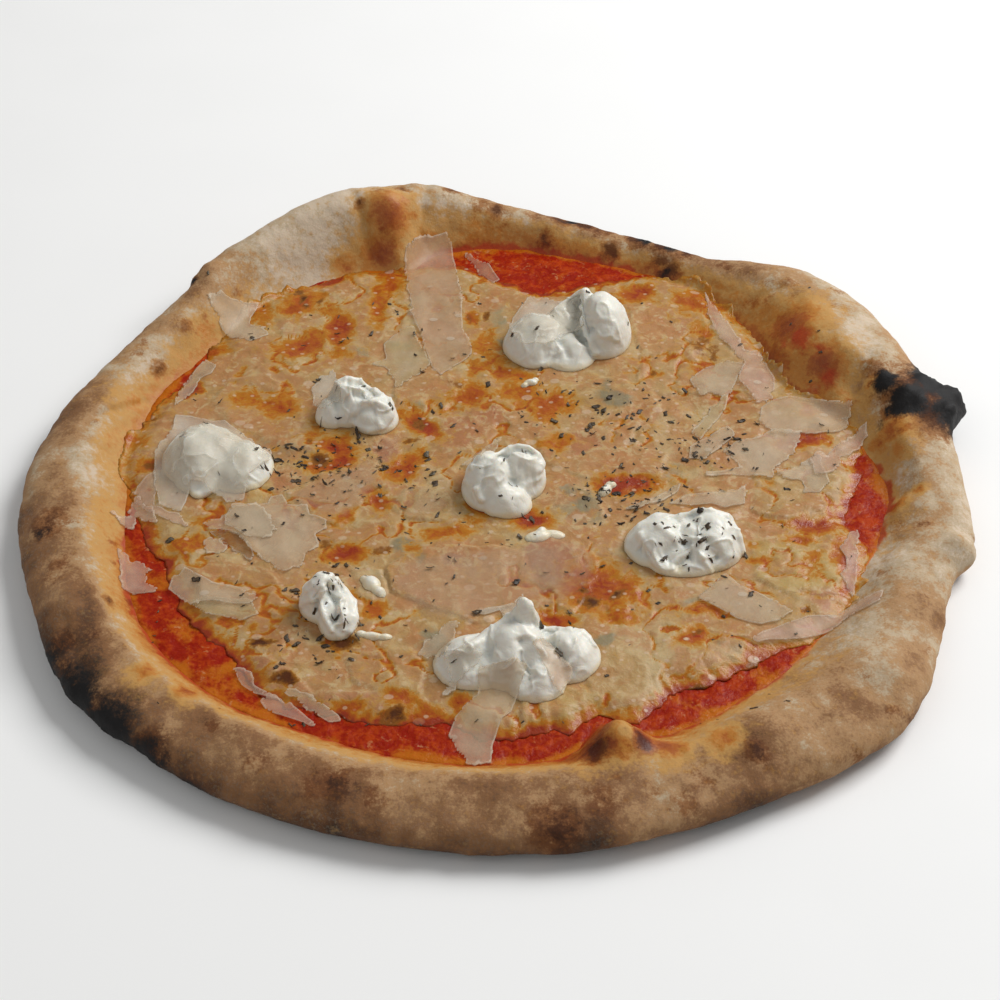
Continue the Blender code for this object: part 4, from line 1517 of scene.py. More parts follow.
@dataclass(frozen=True)
class Fold:
    """A line over a spoonful where the cheese stands up or is drawn in: its points in mm, its
    half width, and its rise in mm, below nought for a groove. A steep fold rises slowly from the
    left of its line and drops on the right."""

    line: Line
    width: float
    rise: float
    steep: float = 0.0


@dataclass(frozen=True)
class Curl:
    """A rolled strand on a spoonful: points as x, y, height over the foot and radius, in mm."""

    line: tuple[Spot, ...]


@dataclass(frozen=True)
class Spoonful:
    """One spoonful of soft cheese."""

    lobes: tuple[Lobe, ...]
    curls: tuple[Curl, ...] = ()
    folds: tuple[Fold, ...] = ()


def line_offset(points: Array, line: Line) -> tuple[Array, Array]:
    """How far points lie from a line.

    Args:
        points: plan points in mm.
        line: the line's points in mm.

    Returns:
        The distance in mm, above nought on the line's left, and the share along it.
    """
    best = np.full(len(points), 1e9)
    side = np.zeros(len(points))
    along = np.zeros(len(points))
    count = len(line) - 1
    for k in range(count):
        (ax, ay), (bx, by) = line[k], line[k + 1]
        dx, dy = bx - ax, by - ay
        forward = (points[:, 0] - ax) * dx + (points[:, 1] - ay) * dy
        t = np.clip(forward / max(1e-9, dx * dx + dy * dy), 0, 1)
        ox, oy = points[:, 0] - ax - t * dx, points[:, 1] - ay - t * dy
        away = np.hypot(ox, oy)
        closer = away < best
        best = np.where(closer, away, best)
        side = np.where(closer, np.sign(dx * oy - dy * ox), side)
        along = np.where(closer, (k + t) / count, along)
    return best * side, along


@dataclass
class SoftCheese:
    """Spoonfuls of soft cheese, each a heap of rounded lobes with its folds and curled ends."""

    spoonfuls: tuple[Spoonful, ...]
    crumbs: tuple[Spoonful, ...]
    finish: FreshCheese = FreshCheese()
    grain: float = 0.45
    crumb_grain: float = 0.35
    sink: float = 1.2
    lowest: float = 0.06
    rounds: int = 14
    deep: float = 0.5

    def build(self, surface: Surface) -> None:
        """Builds every spoonful and crumb on the surface."""
        material = self.finish.material()
        for kind, name, grain, group in (
            ("spoonful", "soft_cheese", self.grain, self.spoonfuls),
            ("morsel", "crumb", self.crumb_grain, self.crumbs),
        ):
            for number, one in enumerate(group, 1):
                heap = self._heap(f"{kind}_{number}", one, grain, surface)
                Bench.dress(heap, material, "soft_cheese")
                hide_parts(f"{name}_{number}")
                Bench.report(heap)

    def _heap(self, name: str, one: Spoonful, grain: float, surface: Surface) -> Thing:
        """Shapes one spoonful.

        Args:
            name: the piece's name.
            one: its lobes, curls and folds.
            grain: the size of its faces in mm.
            surface: what it lies on.

        Returns:
            The finished mesh.
        """
        parts = [self._mound(lobe, surface) for lobe in one.lobes]
        for curl in one.curls:
            parts += self._strand(curl, surface)
        heap = Bench.join(parts, name)
        Bench.apply(heap, "REMESH", mode="VOXEL", voxel_size=grain * MM, adaptivity=0.0)
        Bench.apply(heap, "SMOOTH", factor=0.5, iterations=3)
        plan = Plan.millimetres(Bench.points(heap))
        normals = Bench.normals(heap)
        up = np.clip(normals[:, 2] * 1.6 + 0.35, 0, 1)
        bed = surface.at(plan[:, 0], plan[:, 1])
        moved = wandering(plan, 9, 0.9, 101)
        rise = 0.30 * rough(plan, 4.5, 102, 2) + 0.5 * rough(plan, 11, 104)
        crease = np.abs(rough(moved, 10, 106, 2))
        rise += 0.55 * np.maximum(0.0, 1 - crease / 0.16) ** 1.6 - 0.15
        for fold in one.folds:
            away, along = line_offset(moved, fold.line)
            gentle, sharp = fold.width * (1 + fold.steep), fold.width * (1 - 0.7 * fold.steep)
            width = np.where(away > 0, gentle, sharp)
            fade = eased(along, 0.0, 0.12) * eased(along, 1.0, 0.85) * 0.75 + 0.25
            rise += fold.rise * fade * np.exp(-((away / width) ** 2))
        plan += normals * (rise * up * eased(plan[:, 2] - bed, 0.5, 4.0))[:, None]
        Bench.place(heap, Plan.metres(plan))
        Bench.apply(heap, "SMOOTH", factor=0.5, iterations=1)
        plan = Plan.millimetres(Bench.points(heap))
        bed = surface.at(plan[:, 0], plan[:, 1])
        level = plan[:, 2] - bed
        plan[:, 2] = bed + np.maximum(level, self.lowest + 0.02 * level)
        Bench.place(heap, Plan.metres(plan))
        Bench.paint(heap, "foot", eased(level + 1.0 * rough(plan, 5, 105), 3.2, 0.2))
        # where the finish paints shade into the hollows
        Bench.paint(heap, "hollow_shade", self._hollows(heap, plan, level))
        return heap

    def _mound(self, lobe: Lobe, surface: Surface) -> Thing:
        """One lobe as a round-topped heap, sunk a little way into what it lies on."""
        ball = Bench.ball("lobe", 64, 32)
        points = Bench.points(ball)
        turn = math.radians(lobe.heading)
        flat = np.hypot(points[:, 0], points[:, 1])
        over = lobe.height * np.maximum(0, 1 - flat**2) ** lobe.taper
        height = np.where(points[:, 2] > 0, over, -self.sink * np.abs(points[:, 2]))
        x, y = points[:, 0] * lobe.along, points[:, 1] * lobe.across
        plan = np.empty_like(points)
        plan[:, 0] = lobe.x + x * math.cos(turn) - y * math.sin(turn)
        plan[:, 1] = lobe.y + x * math.sin(turn) + y * math.cos(turn)
        plan[:, 2] = height + surface.at(plan[:, 0], plan[:, 1])
        Bench.place(ball, Plan.metres(plan))
        return ball

    def _strand(self, curl: Curl, surface: Surface) -> list[Thing]:
        """A rolled strand as a chain of round beads along its line."""
        beads = []
        line = np.array(curl.line)
        lengths = np.linalg.norm(np.diff(line[:, :3], axis=0), axis=1)
        along = np.concatenate(((0.0,), np.cumsum(lengths)))
        count = max(3, int(along[-1] / (0.35 * line[:, 3].mean())))
        for place in np.linspace(0, along[-1], count):
            x, y, z, radius = (np.interp(place, along, line[:, k]) for k in range(4))
            bead = Bench.ball("bead", 20, 12)
            points = Bench.points(bead) * radius + np.array((x, y, z))
            points[:, 2] += surface.at(np.array([x]), np.array([y]))[0]
            Bench.place(bead, Plan.metres(points))
            beads.append(bead)
        return beads

    def _hollows(self, heap: Thing, plan: Array, level: Array) -> Array:
        """How drawn in the surface is at each point, from nought to one, which is where the finish paints
        shade.
        """
        neighbours = Neighbours(heap)
        mean = plan.copy()
        for _ in range(self.rounds):
            mean = 0.4 * mean + 0.6 * neighbours.mean(mean)
        inward = ((mean - plan) * Bench.normals(heap)).sum(1)
        return np.clip(inward / self.deep, 0, 1) * eased(level, 0.5, 3.0)


# ---------------------------------------------------------------- shavings


@dataclass(frozen=True)
class Scrap:
    """One thin piece of hard cheese: its number, its tint, how far its border lifts in mm, and its
    outline as plan points in mm."""

    number: int
    tint: Tint
    lift: float
    outline: Line


@dataclass
class Shavings:
    """Thin ragged shavings of hard cheese, draped over what they lie on, one over another."""

    scraps: tuple[Scrap, ...]
    finish: HardCheese = HardCheese()
    spacing: float = 0.7
    thickness: float = 0.32
    flush: float = 0.22
    toothed: float = 1.5
    margin: float = 1.5
    probe: float = 0.3
    gap: float = 0.06
    melted_under: float = 0.25
    rounds: int = 40

    def build(self, surface: Surface) -> None:
        """Builds the shavings from the lowest to the highest, each on the ones before."""
        material = self.finish.material()
        for order, scrap in enumerate(self.scraps, 1):
            piece = self._drape(f"scrap_{order:02d}", scrap, surface, order)
            Bench.dress(piece, material, "hard_cheese")
            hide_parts(f"shaving_{scrap.number:02d}")
            surface.add(piece)
            Bench.report(piece)

    def _drape(self, name: str, scrap: Scrap, surface: Surface, seed: int) -> Thing:
        """Cuts one shaving out of a sheet and lays it down.

        Args:
            name: the piece's name.
            scrap: its outline and lift.
            surface: what it lies on.
            seed: which raggedness.

        Returns:
            The finished mesh.
        """
        corners = np.array(scrap.outline, float)
        low, high = corners.min(0) - self.margin, corners.max(0) + self.margin
        across = max(6, int((high[0] - low[0]) / self.spacing))
        along = max(6, int((high[1] - low[1]) / self.spacing))
        sheet = Bench.grid(name, across, along)
        plan = Bench.points(sheet)
        plan[:, :2] = low + (plan[:, :2] + 1) / 2 * (high - low)
        Bench.place(sheet, Plan.metres(plan))
        depth = self._depth(plan, scrap, seed)
        self._trim(sheet, depth)
        plan = Plan.millimetres(Bench.points(sheet))
        depth = self._depth(plan, scrap, seed)
        ahead = plan + np.array((self.probe, 0, 0))
        aside = plan + np.array((0, self.probe, 0))
        slope_x = (self._depth(ahead, scrap, seed) - depth) / self.probe
        slope_y = (self._depth(aside, scrap, seed) - depth) / self.probe
        steep = np.maximum(0.35, slope_x**2 + slope_y**2)
        near = depth < self.spacing * 0.75
        shift = np.clip(-depth / steep, -1.0, 1.0)
        plan[near, 0] += (shift * slope_x)[near]
        plan[near, 1] += (shift * slope_y)[near]
        depth = np.maximum(0, self._depth(plan, scrap, seed))
        rest = surface.at(plan[:, 0], plan[:, 1])
        height = self._settle(sheet, rest)
        curl = (0.20 + 1.1 * rough(plan, 9, 110 + seed)) * eased(depth, 4.5, 0.0)
        plan[:, 2] = height + self.gap + scrap.lift * np.maximum(0, curl)
        waves = np.abs(rough(plan, 6, 150 + seed)) * eased(depth, 0.0, 3.0)
        plan[:, 2] += scrap.lift * 0.25 * waves
        Bench.place(sheet, Plan.metres(plan))
        melted = scrap.lift < self.melted_under
        # edge marks the cut, where the finish paints a highlight
        Bench.paint(sheet, "edge", eased(depth, 1.0, 0.2) * (0.0 if melted else 1.0))
        body = 0.5 * eased(depth, 0.0, 4.0) if melted else 0.7 + 0.3 * eased(depth, 0.6, 4.0)
        Bench.paint(sheet, "body", body)
        shade = 1 + 0.10 * rough(plan, 11, 170 + seed)[:, None]
        Bench.tint(sheet, "tone", np.array(scrap.tint.value) * shade)
        thickness = self.flush if melted else self.thickness
        Bench.apply(sheet, "SOLIDIFY", thickness=thickness * MM, offset=1.0, use_even_offset=False)
        return sheet

    def _depth(self, plan: Array, scrap: Scrap, seed: int) -> Array:
        """How deep points lie inside a scrap's outline in mm, toothed on some of its sides."""
        depth = outline_depth(plan[:, 0], plan[:, 1], scrap.outline)
        teeth = self.toothed * eased(rough(plan, 14, 220 + seed), -0.25, 0.45)
        worn = rough(plan, 3.2, 200 + seed, 2) + 0.5 * np.abs(rough(plan, 1.8, 240 + seed))
        return depth + 0.3 * rough(plan, 5.5, 260 + seed) + teeth * worn

    def _trim(self, sheet: Thing, depth: Array) -> None:
        """Deletes the sheet's points that lie well outside the outline."""
        Bench.hold(sheet)
        bpy.ops.object.mode_set(mode="EDIT")
        bpy.ops.mesh.select_mode(type="VERT")
        bpy.ops.mesh.select_all(action="DESELECT")
        bpy.ops.object.mode_set(mode="OBJECT")
        sheet.data.vertices.foreach_set("select", depth < -0.5 * self.spacing)
        bpy.ops.object.mode_set(mode="EDIT")
        bpy.ops.mesh.delete(type="VERT")
        bpy.ops.object.mode_set(mode="OBJECT")

    def _settle(self, sheet: Thing, rest: Array) -> Array:
        """Heights in mm at which a stiff sheet lies on a surface without sinking in."""
        neighbours = Neighbours(sheet)
        height = rest.copy()
        for _ in range(self.rounds):
            height = np.maximum(rest, 0.5 * height + 0.5 * neighbours.mean(height))
        return height


# ---------------------------------------------------------------- herbs


@dataclass(frozen=True)
class Scatter:
    """A patch of herb flakes: its middle and half sizes in mm, and how many lie in it."""

    x: float
    y: float
    half_x: float
    half_y: float
    count: int


@dataclass
class Herbs:
    """Crumbled dried herbs, scattered over everything."""

    patches: tuple[Scatter, ...]
    finish: DriedHerb = DriedHerb()
    seed: int = 5
    spread: float = 0.55
    slims: tuple[float, ...] = (0.3, 0.5, 0.75, 1.0)
    thickness: float = 0.16
    gap: float = 0.03

    def build(self, surface: Surface) -> Thing:
        """Lays the flakes on the surface as one piece."""
        flake = self._flake()
        pick = np.random.default_rng(self.seed)
        copies, shades = [], []
        for patch in self.patches:
            for _ in range(patch.count):
                x = patch.x + patch.half_x * float(np.clip(pick.normal(0, self.spread), -1, 1))
                y = patch.y + patch.half_y * float(np.clip(pick.normal(0, self.spread), -1, 1))
                size = float(np.clip(pick.lognormal(-0.42, 0.45), 0.2, 1.5))
                slim = float(pick.choice(self.slims))
                copies.append(self._lay(flake, surface, x, y, size, slim, pick))
                shades.append(float(np.clip(pick.normal(0.45, 0.28), 0, 1)))
        counts = [len(copy.data.vertices) for copy in copies]
        bpy.data.objects.remove(flake)
        herbs = Bench.join(copies, "herb_flakes")
        Bench.paint(herbs, "shade", np.repeat(shades, counts))
        Bench.dress(herbs, self.finish.material(), "melted_cheese")
        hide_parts("melted_cheese")
        return herbs

    def _flake(self) -> Thing:
        """A bent leaf flake about 2 mm long, modelled once."""
        flake = Bench.grid("flake", 4, 3)
        x, y = Bench.points(flake)[:, :2].T
        across = 0.6 * y * (1 - 0.7 * x**2) + 0.18 * np.sin(4 * x)
        Bench.place(flake, np.stack((x, across, 0.28 * x**2 + 0.12 * y), 1) * MM)
        Bench.apply(flake, "SOLIDIFY", thickness=self.thickness * MM, offset=1.0)
        return flake

    def _lay(
        self,
        flake: Thing,
        surface: Surface,
        x: float,
        y: float,
        size: float,
        slim: float,
        pick: np.random.Generator,
    ) -> Thing:
        """Copies the flake, turns it and lays it down.

        Args:
            flake: the flake that is copied.
            surface: what it lies on.
            x: its place in mm.
            y: its place in mm.
            size: its size, one being about 2 mm.
            slim: its width as a share of its length.
            pick: where its turn and tilt come from.

        Returns:
            The copy.
        """
        copy = flake.copy()
        copy.data = flake.data.copy()
        bpy.context.collection.objects.link(copy)
        points = Bench.points(copy) / MM * size
        points[:, :2] += pick.normal(0, 0.14 * size, (len(points), 2))
        points[:, 1] *= slim
        points[:, 2] *= pick.uniform(0.2, 1.3) * (1 if pick.random() > 0.3 else -0.6)
        turn = pick.uniform(0, 2 * math.pi)
        px = points[:, 0] * math.cos(turn) - points[:, 1] * math.sin(turn) + x
        py = points[:, 0] * math.sin(turn) + points[:, 1] * math.cos(turn) + y
        bed = surface.at(px, py)
        height = bed + points[:, 2] - points[:, 2].min() + self.gap
        Bench.place(copy, Plan.metres(np.stack((px, py, height), 1)))
        return copy


# ---------------------------------------------------------------- camera, light and floor


@dataclass(frozen=True)
class Lamp:
    """A square soft light that faces the middle: its name, where it hangs and its side in metres,
    and its power in watts."""

    name: str
    place: tuple[float, float, float]
    size: float
    power: float


@dataclass
class Studio:
    """A pale floor, soft light and the camera."""

    place: tuple[float, float, float] = (-0.00083346, -0.515077, 0.459656)
    tilt: float = 48.0
    lens: float = 72.19
    sensor: float = 36.0
    nearest: float = 0.01
    floor: PlainFloor = PlainFloor()
    floor_side: float = 6.0
    sky: float = 0.30
    lamps: tuple[Lamp, ...] = (
        Lamp("key_light", (1.05, 0.71, 1.22), 0.95, 31.0),
        Lamp("fill_light", (-0.6, -0.5, 0.7), 0.9, 1.2),
    )

    def build(self) -> None:
        """Sets up the camera, the lights and the floor."""
        Bench.deselect()
        bpy.ops.object.camera_add(location=self.place, rotation=(math.radians(self.tilt), 0, 0))
        camera = bpy.context.object
        camera.data.lens = self.lens
        camera.data.sensor_width = self.sensor
        camera.data.clip_start = self.nearest
        bpy.context.scene.camera = camera
        for lamp in self.lamps:
            self._hang(lamp)
        world = bpy.data.worlds.new("studio")
        bpy.context.scene.world = world
        world.use_nodes = True
        backdrop = world.node_tree.nodes["Background"]
        backdrop.inputs["Color"].default_value = (1.0, 1.0, 1.0, 1.0)
        backdrop.inputs["Strength"].default_value = self.sky
        Bench.deselect()
        bpy.ops.mesh.primitive_plane_add(size=self.floor_side, location=(0, 0, 0))
        ground = Bench.named("floor")
        ground.data.materials.append(self.floor.material())
        view = bpy.context.scene.view_settings
        view.view_transform = "Standard"
        view.look = "None"

    @staticmethod
    def _hang(lamp: Lamp) -> None:
        """Adds one light."""
        turn = (-Vector(lamp.place)).to_track_quat("-Z", "Y").to_euler()
        Bench.deselect()
        bpy.ops.object.light_add(type="AREA", location=lamp.place, rotation=turn)
        light = Bench.named(lamp.name)
        light.data.shape = "SQUARE"
        light.data.size = lamp.size
        light.data.energy = lamp.power


# ---------------------------------------------------------------- what lies where

CRUST_MARKS: dict[Mark, tuple[Spot, ...]] = {
    Mark.SCORCH: (
        (134.5, 0.77, 2.6, 0.7), (145.5, 0.72, 3.3, 0.9), (142, 0.74, 3, 0.5), (154, 0.78, 3.3, 1),
        (155, 0.62, 2.5, 0.6), (152, 0.59, 2.2, 0.6), (138, 0.47, 3, 1), (170, 0.65, 2.1, 0.6),
        (161.5, 0.97, 2.1, 0.5), (188, 0.99, 3, 1), (192.5, 0.83, 2.6, 0.6), (196.5, 0.82, 1.9, 0.7),
        (206, 0.7, 2.5, 1), (203.5, 0.88, 1.9, 0.8), (190, 0.53, 7.2, 1), (197.5, 0.54, 5.1, 0.7),
        (209.5, 0.46, 4.9, 0.8), (213.5, 0.24, 9.2, 1), (220, 0.26, 7.2, 1), (228, 0.33, 7.1, 1),
        (234, 0.23, 5.9, 0.8), (249.5, 0.54, 6.3, 0.8), (239.5, 0.52, 4.1, 0.6), (199.5, 0.5, 3.8, 0.6),
        (210.5, 0.57, 4.3, 0.5), (232.5, 0.58, 3.2, 0.7), (232.5, 1, 3.9, 0.9), (237, 0.87, 3.3, 0.6),
        (247.5, 0.5, 5.2, 0.7), (254.5, 0.51, 4, 0.6), (275, 0.42, 7.9, 1), (280.5, 0.5, 6.3, 0.7),
        (274, 0.52, 4, 0.7), (282.2, 0.67, 4.6, 1.4), (287, 0.635, 3.6, 1.4), (283, 0.55, 1.7, 0.6),
        (279.5, 1, 2.7, 0.6), (299.5, 0.53, 4.1, 1.1), (318, 0.82, 1.8, 0.6), (318, 0.58, 2.1, 0.5),
        (328, 0.42, 1.8, 0.7), (336.5, 0.51, 1.6, 0.5), (317, 0.41, 3, 0.5), (319, 0.29, 2.7, 0.5),
        (310.5, 0.3, 3.5, 0.5), (289.5, 0.44, 5.1, 0.6), (286.5, 0.5, 2.9, 0.5), (292.5, 0.5, 4.6, 0.5),
        (339, 0.76, 2.2, 0.9), (20, 0.6, 4.6, 0.9), (14.5, 0.56, 13, 1.3), (9.5, 0.5, 9, 1.2),
        (13, 0.74, 4.5, 0.9), (22, 0.62, 3.2, 0.7), (8.5, 0.69, 3.1, 0.5), (350.5, 0.8, 4, 0.5),
        (350, 0.66, 3, 0.5), (350, 0.36, 2.6, 0.7), (111.5, 0.68, 2.3, 1), (105, 0.58, 3.1, 1),
        (109, 0.61, 3.5, 0.7), (109.5, 0.78, 1.9, 0.5), (99.5, 0.65, 2, 0.6), (94, 0.6, 5.5, 0.6),
        (91, 0.69, 5.1, 0.55), (86.5, 0.62, 4.3, 0.5), (85, 0.81, 3.1, 0.6), (74, 0.76, 4.3, 1),
        (65, 0.7, 4.6, 1.1), (70, 0.54, 3.9, 1), (76, 0.52, 5.1, 0.8), (55.5, 0.59, 3.8, 0.7),
        (68, 1, 3.1, 0.6), (44.5, 0.61, 4.1, 0.55), (42, 0.66, 2.6, 0.6), (39, 0.48, 3.7, 0.6),
        (36, 0.57, 2.9, 0.6), (47.5, 0.65, 3, 0.5), (49.5, 0.87, 3.4, 0.6), (48, 0.79, 3.4, 0.6),
        (45.5, 0.74, 3, 0.6), (82, 0.55, 4, 1.3), (78.5, 0.54, 4, 1.3), (70.5, 0.55, 4.5, 1.4),
        (66.5, 0.56, 4, 1.4), (62.5, 0.56, 3.4, 1.2), (91.5, 0.62, 4, 1.1), (73.5, 0.74, 3.6, 1.4),
        (63.5, 0.8, 4.2, 1.5), (84, 0.78, 3, 1.1), (98, 0.56, 4, 0.9),
    ),
    Mark.SOOT: (
        (16.5, 0.5, 7.5, 1.1), (14.5, 0.42, 9, 1.35), (13, 0.6, 6.5, 1), (15, 0.27, 9, 1.3),
        (18, 0.4, 7, 1.3), (11, 0.44, 7.5, 1.25), (17.5, 0.64, 5, 0.9), (12, 0.78, 2.5, 0.5),
        (13, 0.72, 3, 0.6), (210, 0.15, 9, 1.1), (216, 0.15, 11, 1.2), (222, 0.15, 11, 1.2),
        (228, 0.13, 9, 1.1), (204, 0.12, 7, 0.9), (234, 0.11, 7, 0.8), (217, 0.3, 7, 0.75),
        (191, 0.49, 3.3, 0.5), (80.5, 0.52, 2.6, 0.75), (69, 0.52, 3, 0.8), (65, 0.53, 2.6, 0.75),
        (64, 0.8, 2, 0.6), (138, 0.48, 1.9, 0.7),
    ),
    Mark.OIL: (
        (9, 0.72, 6.9, 0.8), (9, 0.82, 5.5, 0.7), (5, 0.74, 4.8, 0.6), (355.5, 0.81, 4, 0.8),
        (356.5, 0.69, 3, 0.7), (108, 0.73, 10, 1), (110, 0.85, 8.5, 1), (116, 0.88, 6.2, 0.7),
        (102.5, 0.83, 5.1, 0.8), (104, 0.74, 3.1, 0.8), (37.5, 0.77, 12.4, 1), (35, 0.91, 11.7, 1.05),
        (27.5, 0.76, 9.3, 1), (54.5, 0.78, 2.7, 0.6), (47, 0.98, 8.2, 0.9), (278, 0.88, 6, 1),
        (290.3, 0.66, 6, 1.1), (282, 0.72, 7, 1.1), (285, 0.72, 8, 1.15), (288, 0.67, 6, 1.1),
        (284.5, 0.63, 5, 0.85), (279, 0.8, 6, 1), (289, 0.59, 4.1, 0.8), (19, 0.7, 3.5, 0.6),
        (345, 1, 4, 0.6), (82, 0.88, 7.9, 0.6), (96, 0.89, 9.4, 0.6), (67.5, 1, 7.7, 0.7),
        (57, 0.94, 6.1, 0.7), (143, 0.81, 7.4, 0.6), (162, 0.79, 8.5, 0.5), (176, 0.86, 6.2, 0.5),
        (220, 0.61, 4.8, 0.8), (225.5, 0.7, 4.2, 0.9), (243, 1, 5.4, 0.9), (256.5, 1, 5.4, 0.9),
        (268.5, 1, 4.7, 0.8), (297.5, 0.62, 5.3, 0.7), (310.5, 0.94, 4.9, 0.5), (231, 0.89, 3.6, 0.9),
    ),
    Mark.SAUCE: (
        (33.5, 0.75, 4.4, 1.1), (29.5, 0.74, 2.5, 0.8), (25, 0.8, 3.6, 1), (25.5, 0.86, 2.5, 0.8),
        (35, 0.81, 2.2, 0.5), (19.5, 0.82, 3.2, 0.5),
    ),
    Mark.PALE: (
        (15.5, 0.76, 3.5, 0.9), (1, 0.78, 3.7, 0.8), (6, 0.42, 3.8, 0.8), (326.5, 0.57, 4.9, 0.8),
        (311, 0.59, 4.2, 0.5), (288.5, 0.58, 3.5, 0.8), (100, 0.75, 7, 0.6), (116.5, 0.7, 10, 0.7),
        (128.5, 0.62, 8.3, 0.6), (31, 0.53, 6, 0.6), (43.5, 0.45, 7.5, 0.6), (180.5, 0.76, 5.4, 0.7),
        (185.5, 0.91, 4, 0.6), (208.5, 0.76, 3.8, 0.6), (223.5, 0.58, 3, 0.5), (342, 0.48, 4.5, 0.5),
    ),
}

MELTED_PIECES: tuple[Piece, ...] = (
    Piece(Tone.PEACH, 0.5, ((-76, -3), (-47, 18), (-42, 1), (-47, -9), (-56, -17), (-64, -15))),
    Piece(Tone.PINK, 0.4, ((-49, 21), (-45, 30), (-41, 29), (-37, 20), (-37, 13), (-41, 10), (-46, 14))),
    Piece(Tone.PINK, 0.4, (
        (-25, 29), (-22, 38), (-14, 39), (-7, 33), (-8, 26), (-15, 20), (-22, 20), (-27, 24),
    )),
    Piece(Tone.PINK, 0.3, ((-17, 46), (-10, 48), (-3, 44), (0, 36), (-5, 32), (-15, 40))),
    Piece(Tone.PEACH, 0.5, ((-41, 54), (-32, 60), (-20, 59), (-19, 50), (-22, 43), (-30, 42), (-39, 46))),
    Piece(Tone.MAUVE, 0.3, ((-74, 22), (-66, 23), (-61, 15), (-66, 12))),
    Piece(Tone.STRAW, 0.4, ((-41, -5), (-33, 1), (-25, 1), (-19, -6), (-22, -16), (-34, -14), (-42, -9))),
    Piece(Tone.PEACH, 0.6, (
        (-38, -38), (-35, -32), (-23, -28), (-3, -30), (12, -35), (17, -49), (4, -58), (-12, -64), (-32, -54),
        (-38, -48),
    )),
    Piece(Tone.PEACH, 0.4, (
        (-102, -38), (-91, -36), (-80, -38), (-72, -49), (-73, -59), (-86, -58), (-97, -54),
    )),
    Piece(Tone.PEACH, 0.4, ((-102, 60), (-89, 61), (-76, 54), (-73, 30), (-86, 25), (-97, 33), (-105, 47))),
    Piece(Tone.CREAM, 0.5, ((-51, -42), (-46, -38), (-40, -40), (-39, -49), (-44, -55), (-49, -52))),
    Piece(Tone.STRAW, 0.4, ((-49, -78), (-34, -75), (-25, -82), (-27, -93), (-40, -94), (-49, -89))),
    Piece(Tone.PEACH, 0.4, ((-2, 40), (6, 45), (12, 40), (11, 32), (1, 32))),
    Piece(Tone.STRAW, 0.4, ((17, 54), (33, 60), (46, 56), (43, 41), (32, 36), (20, 41))),
    Piece(Tone.PEACH, 0.4, ((45, 56), (51, 58), (52, 44), (41, 22), (36, 23))),
    Piece(Tone.PEACH, 0.4, ((10, 27), (25, 34), (54, 19), (52, 5), (38, 4), (21, 7), (12, 13))),
    Piece(Tone.PINK, 0.5, ((3, -29), (12, -22), (30, -35), (27, -48), (18, -59), (11, -54), (5, -42))),
    Piece(Tone.PINK, 0.3, ((30, -53), (42, -49), (46, -59), (39, -65), (31, -61))),
    Piece(Tone.GREY, 0.2, ((17, 1), (31, -1), (32, -16), (21, -20), (14, -10))),
    Piece(Tone.STRAW, 0.4, ((83, 7), (102, 11), (115, 5), (112, -9), (97, -15), (83, -10))),
    Piece(Tone.LEMON, 0.4, ((80, -26), (96, -23), (111, -30), (107, -49), (93, -54), (80, -45))),
    Piece(Tone.PINK, 0.2, ((93, -50), (107, -48), (109, -57), (99, -59))),
    Piece(Tone.CREAM, 0.4, (
        (32, -66), (49, -63), (60, -72), (72, -77), (70, -85), (55, -93), (39, -97), (28, -85),
    )),
    Piece(Tone.STRAW, 0.4, ((28, -72), (23, -84), (26, -97), (39, -99), (43, -85), (38, -74))),
    Piece(Tone.ROSE, 0.3, ((-85, -76), (-74, -79), (-62, -89), (-58, -97), (-69, -95), (-80, -87))),
    Piece(Tone.ROSE, 0.2, ((-61, -93), (-27, -95), (-17, -102), (-27, -106), (-45, -103), (-59, -99))),
    Piece(Tone.LEMON, 0.5, ((3, -94), (13, -91), (26, -94), (34, -99), (27, -106), (14, -108), (4, -104))),
    Piece(Tone.PEACH, 0.5, ((-72, 126), (-63, 132), (-56, 123), (-54, 113), (-62, 106), (-69, 113))),
    Piece(Tone.PEACH, 0.4, ((-63, 104), (-49, 110), (-42, 96), (-47, 80), (-59, 83))),
    Piece(Tone.CREAM, 0.3, ((-85, 88), (-70, 96), (-63, 85), (-69, 67), (-80, 69))),
    Piece(Tone.PEACH, 0.4, ((-137, 34), (-127, 37), (-118, 33), (-119, 22), (-128, 20))),
    Piece(Tone.PINK, 0.3, ((-133, 15), (-128, 22), (-123, 9), (-128, 3))),
    Piece(Tone.PEACH, 0.4, ((47, 101), (61, 106), (74, 97), (72, 76), (57, 67), (47, 80))),
    Piece(Tone.STRAW, 0.4, ((48, 73), (65, 75), (74, 67), (70, 52), (54, 50), (46, 59))),
    Piece(Tone.MAUVE, 0.3, ((63, 91), (71, 93), (73, 80), (66, 76))),
    Piece(Tone.CREAM, 0.3, ((-41, 113), (-32, 115), (-31, 88), (-39, 87))),
    Piece(Tone.ROSE, 0.3, ((-89, 9), (-78, 11), (-72, 1), (-81, -5), (-88, -1))),
    Piece(Tone.LEMON, 0.3, ((-91, 7), (-83, 9), (-79, -2), (-83, -9), (-89, -6))),
    Piece(Tone.CREAM, 0.2, ((-122, 25), (-115, 27), (-115, 16), (-120, 15))),
    Piece(Tone.ROSE, 0.3, ((39, -97), (51, -94), (54, -103), (45, -108))),
    Piece(Tone.MAUVE, 0.3, ((-23, -31), (-13, -30), (-11, -38), (-21, -39))),
    Piece(Tone.PINK, 0.3, ((18, 32), (29, 29), (32, 20), (22, 16))),
)

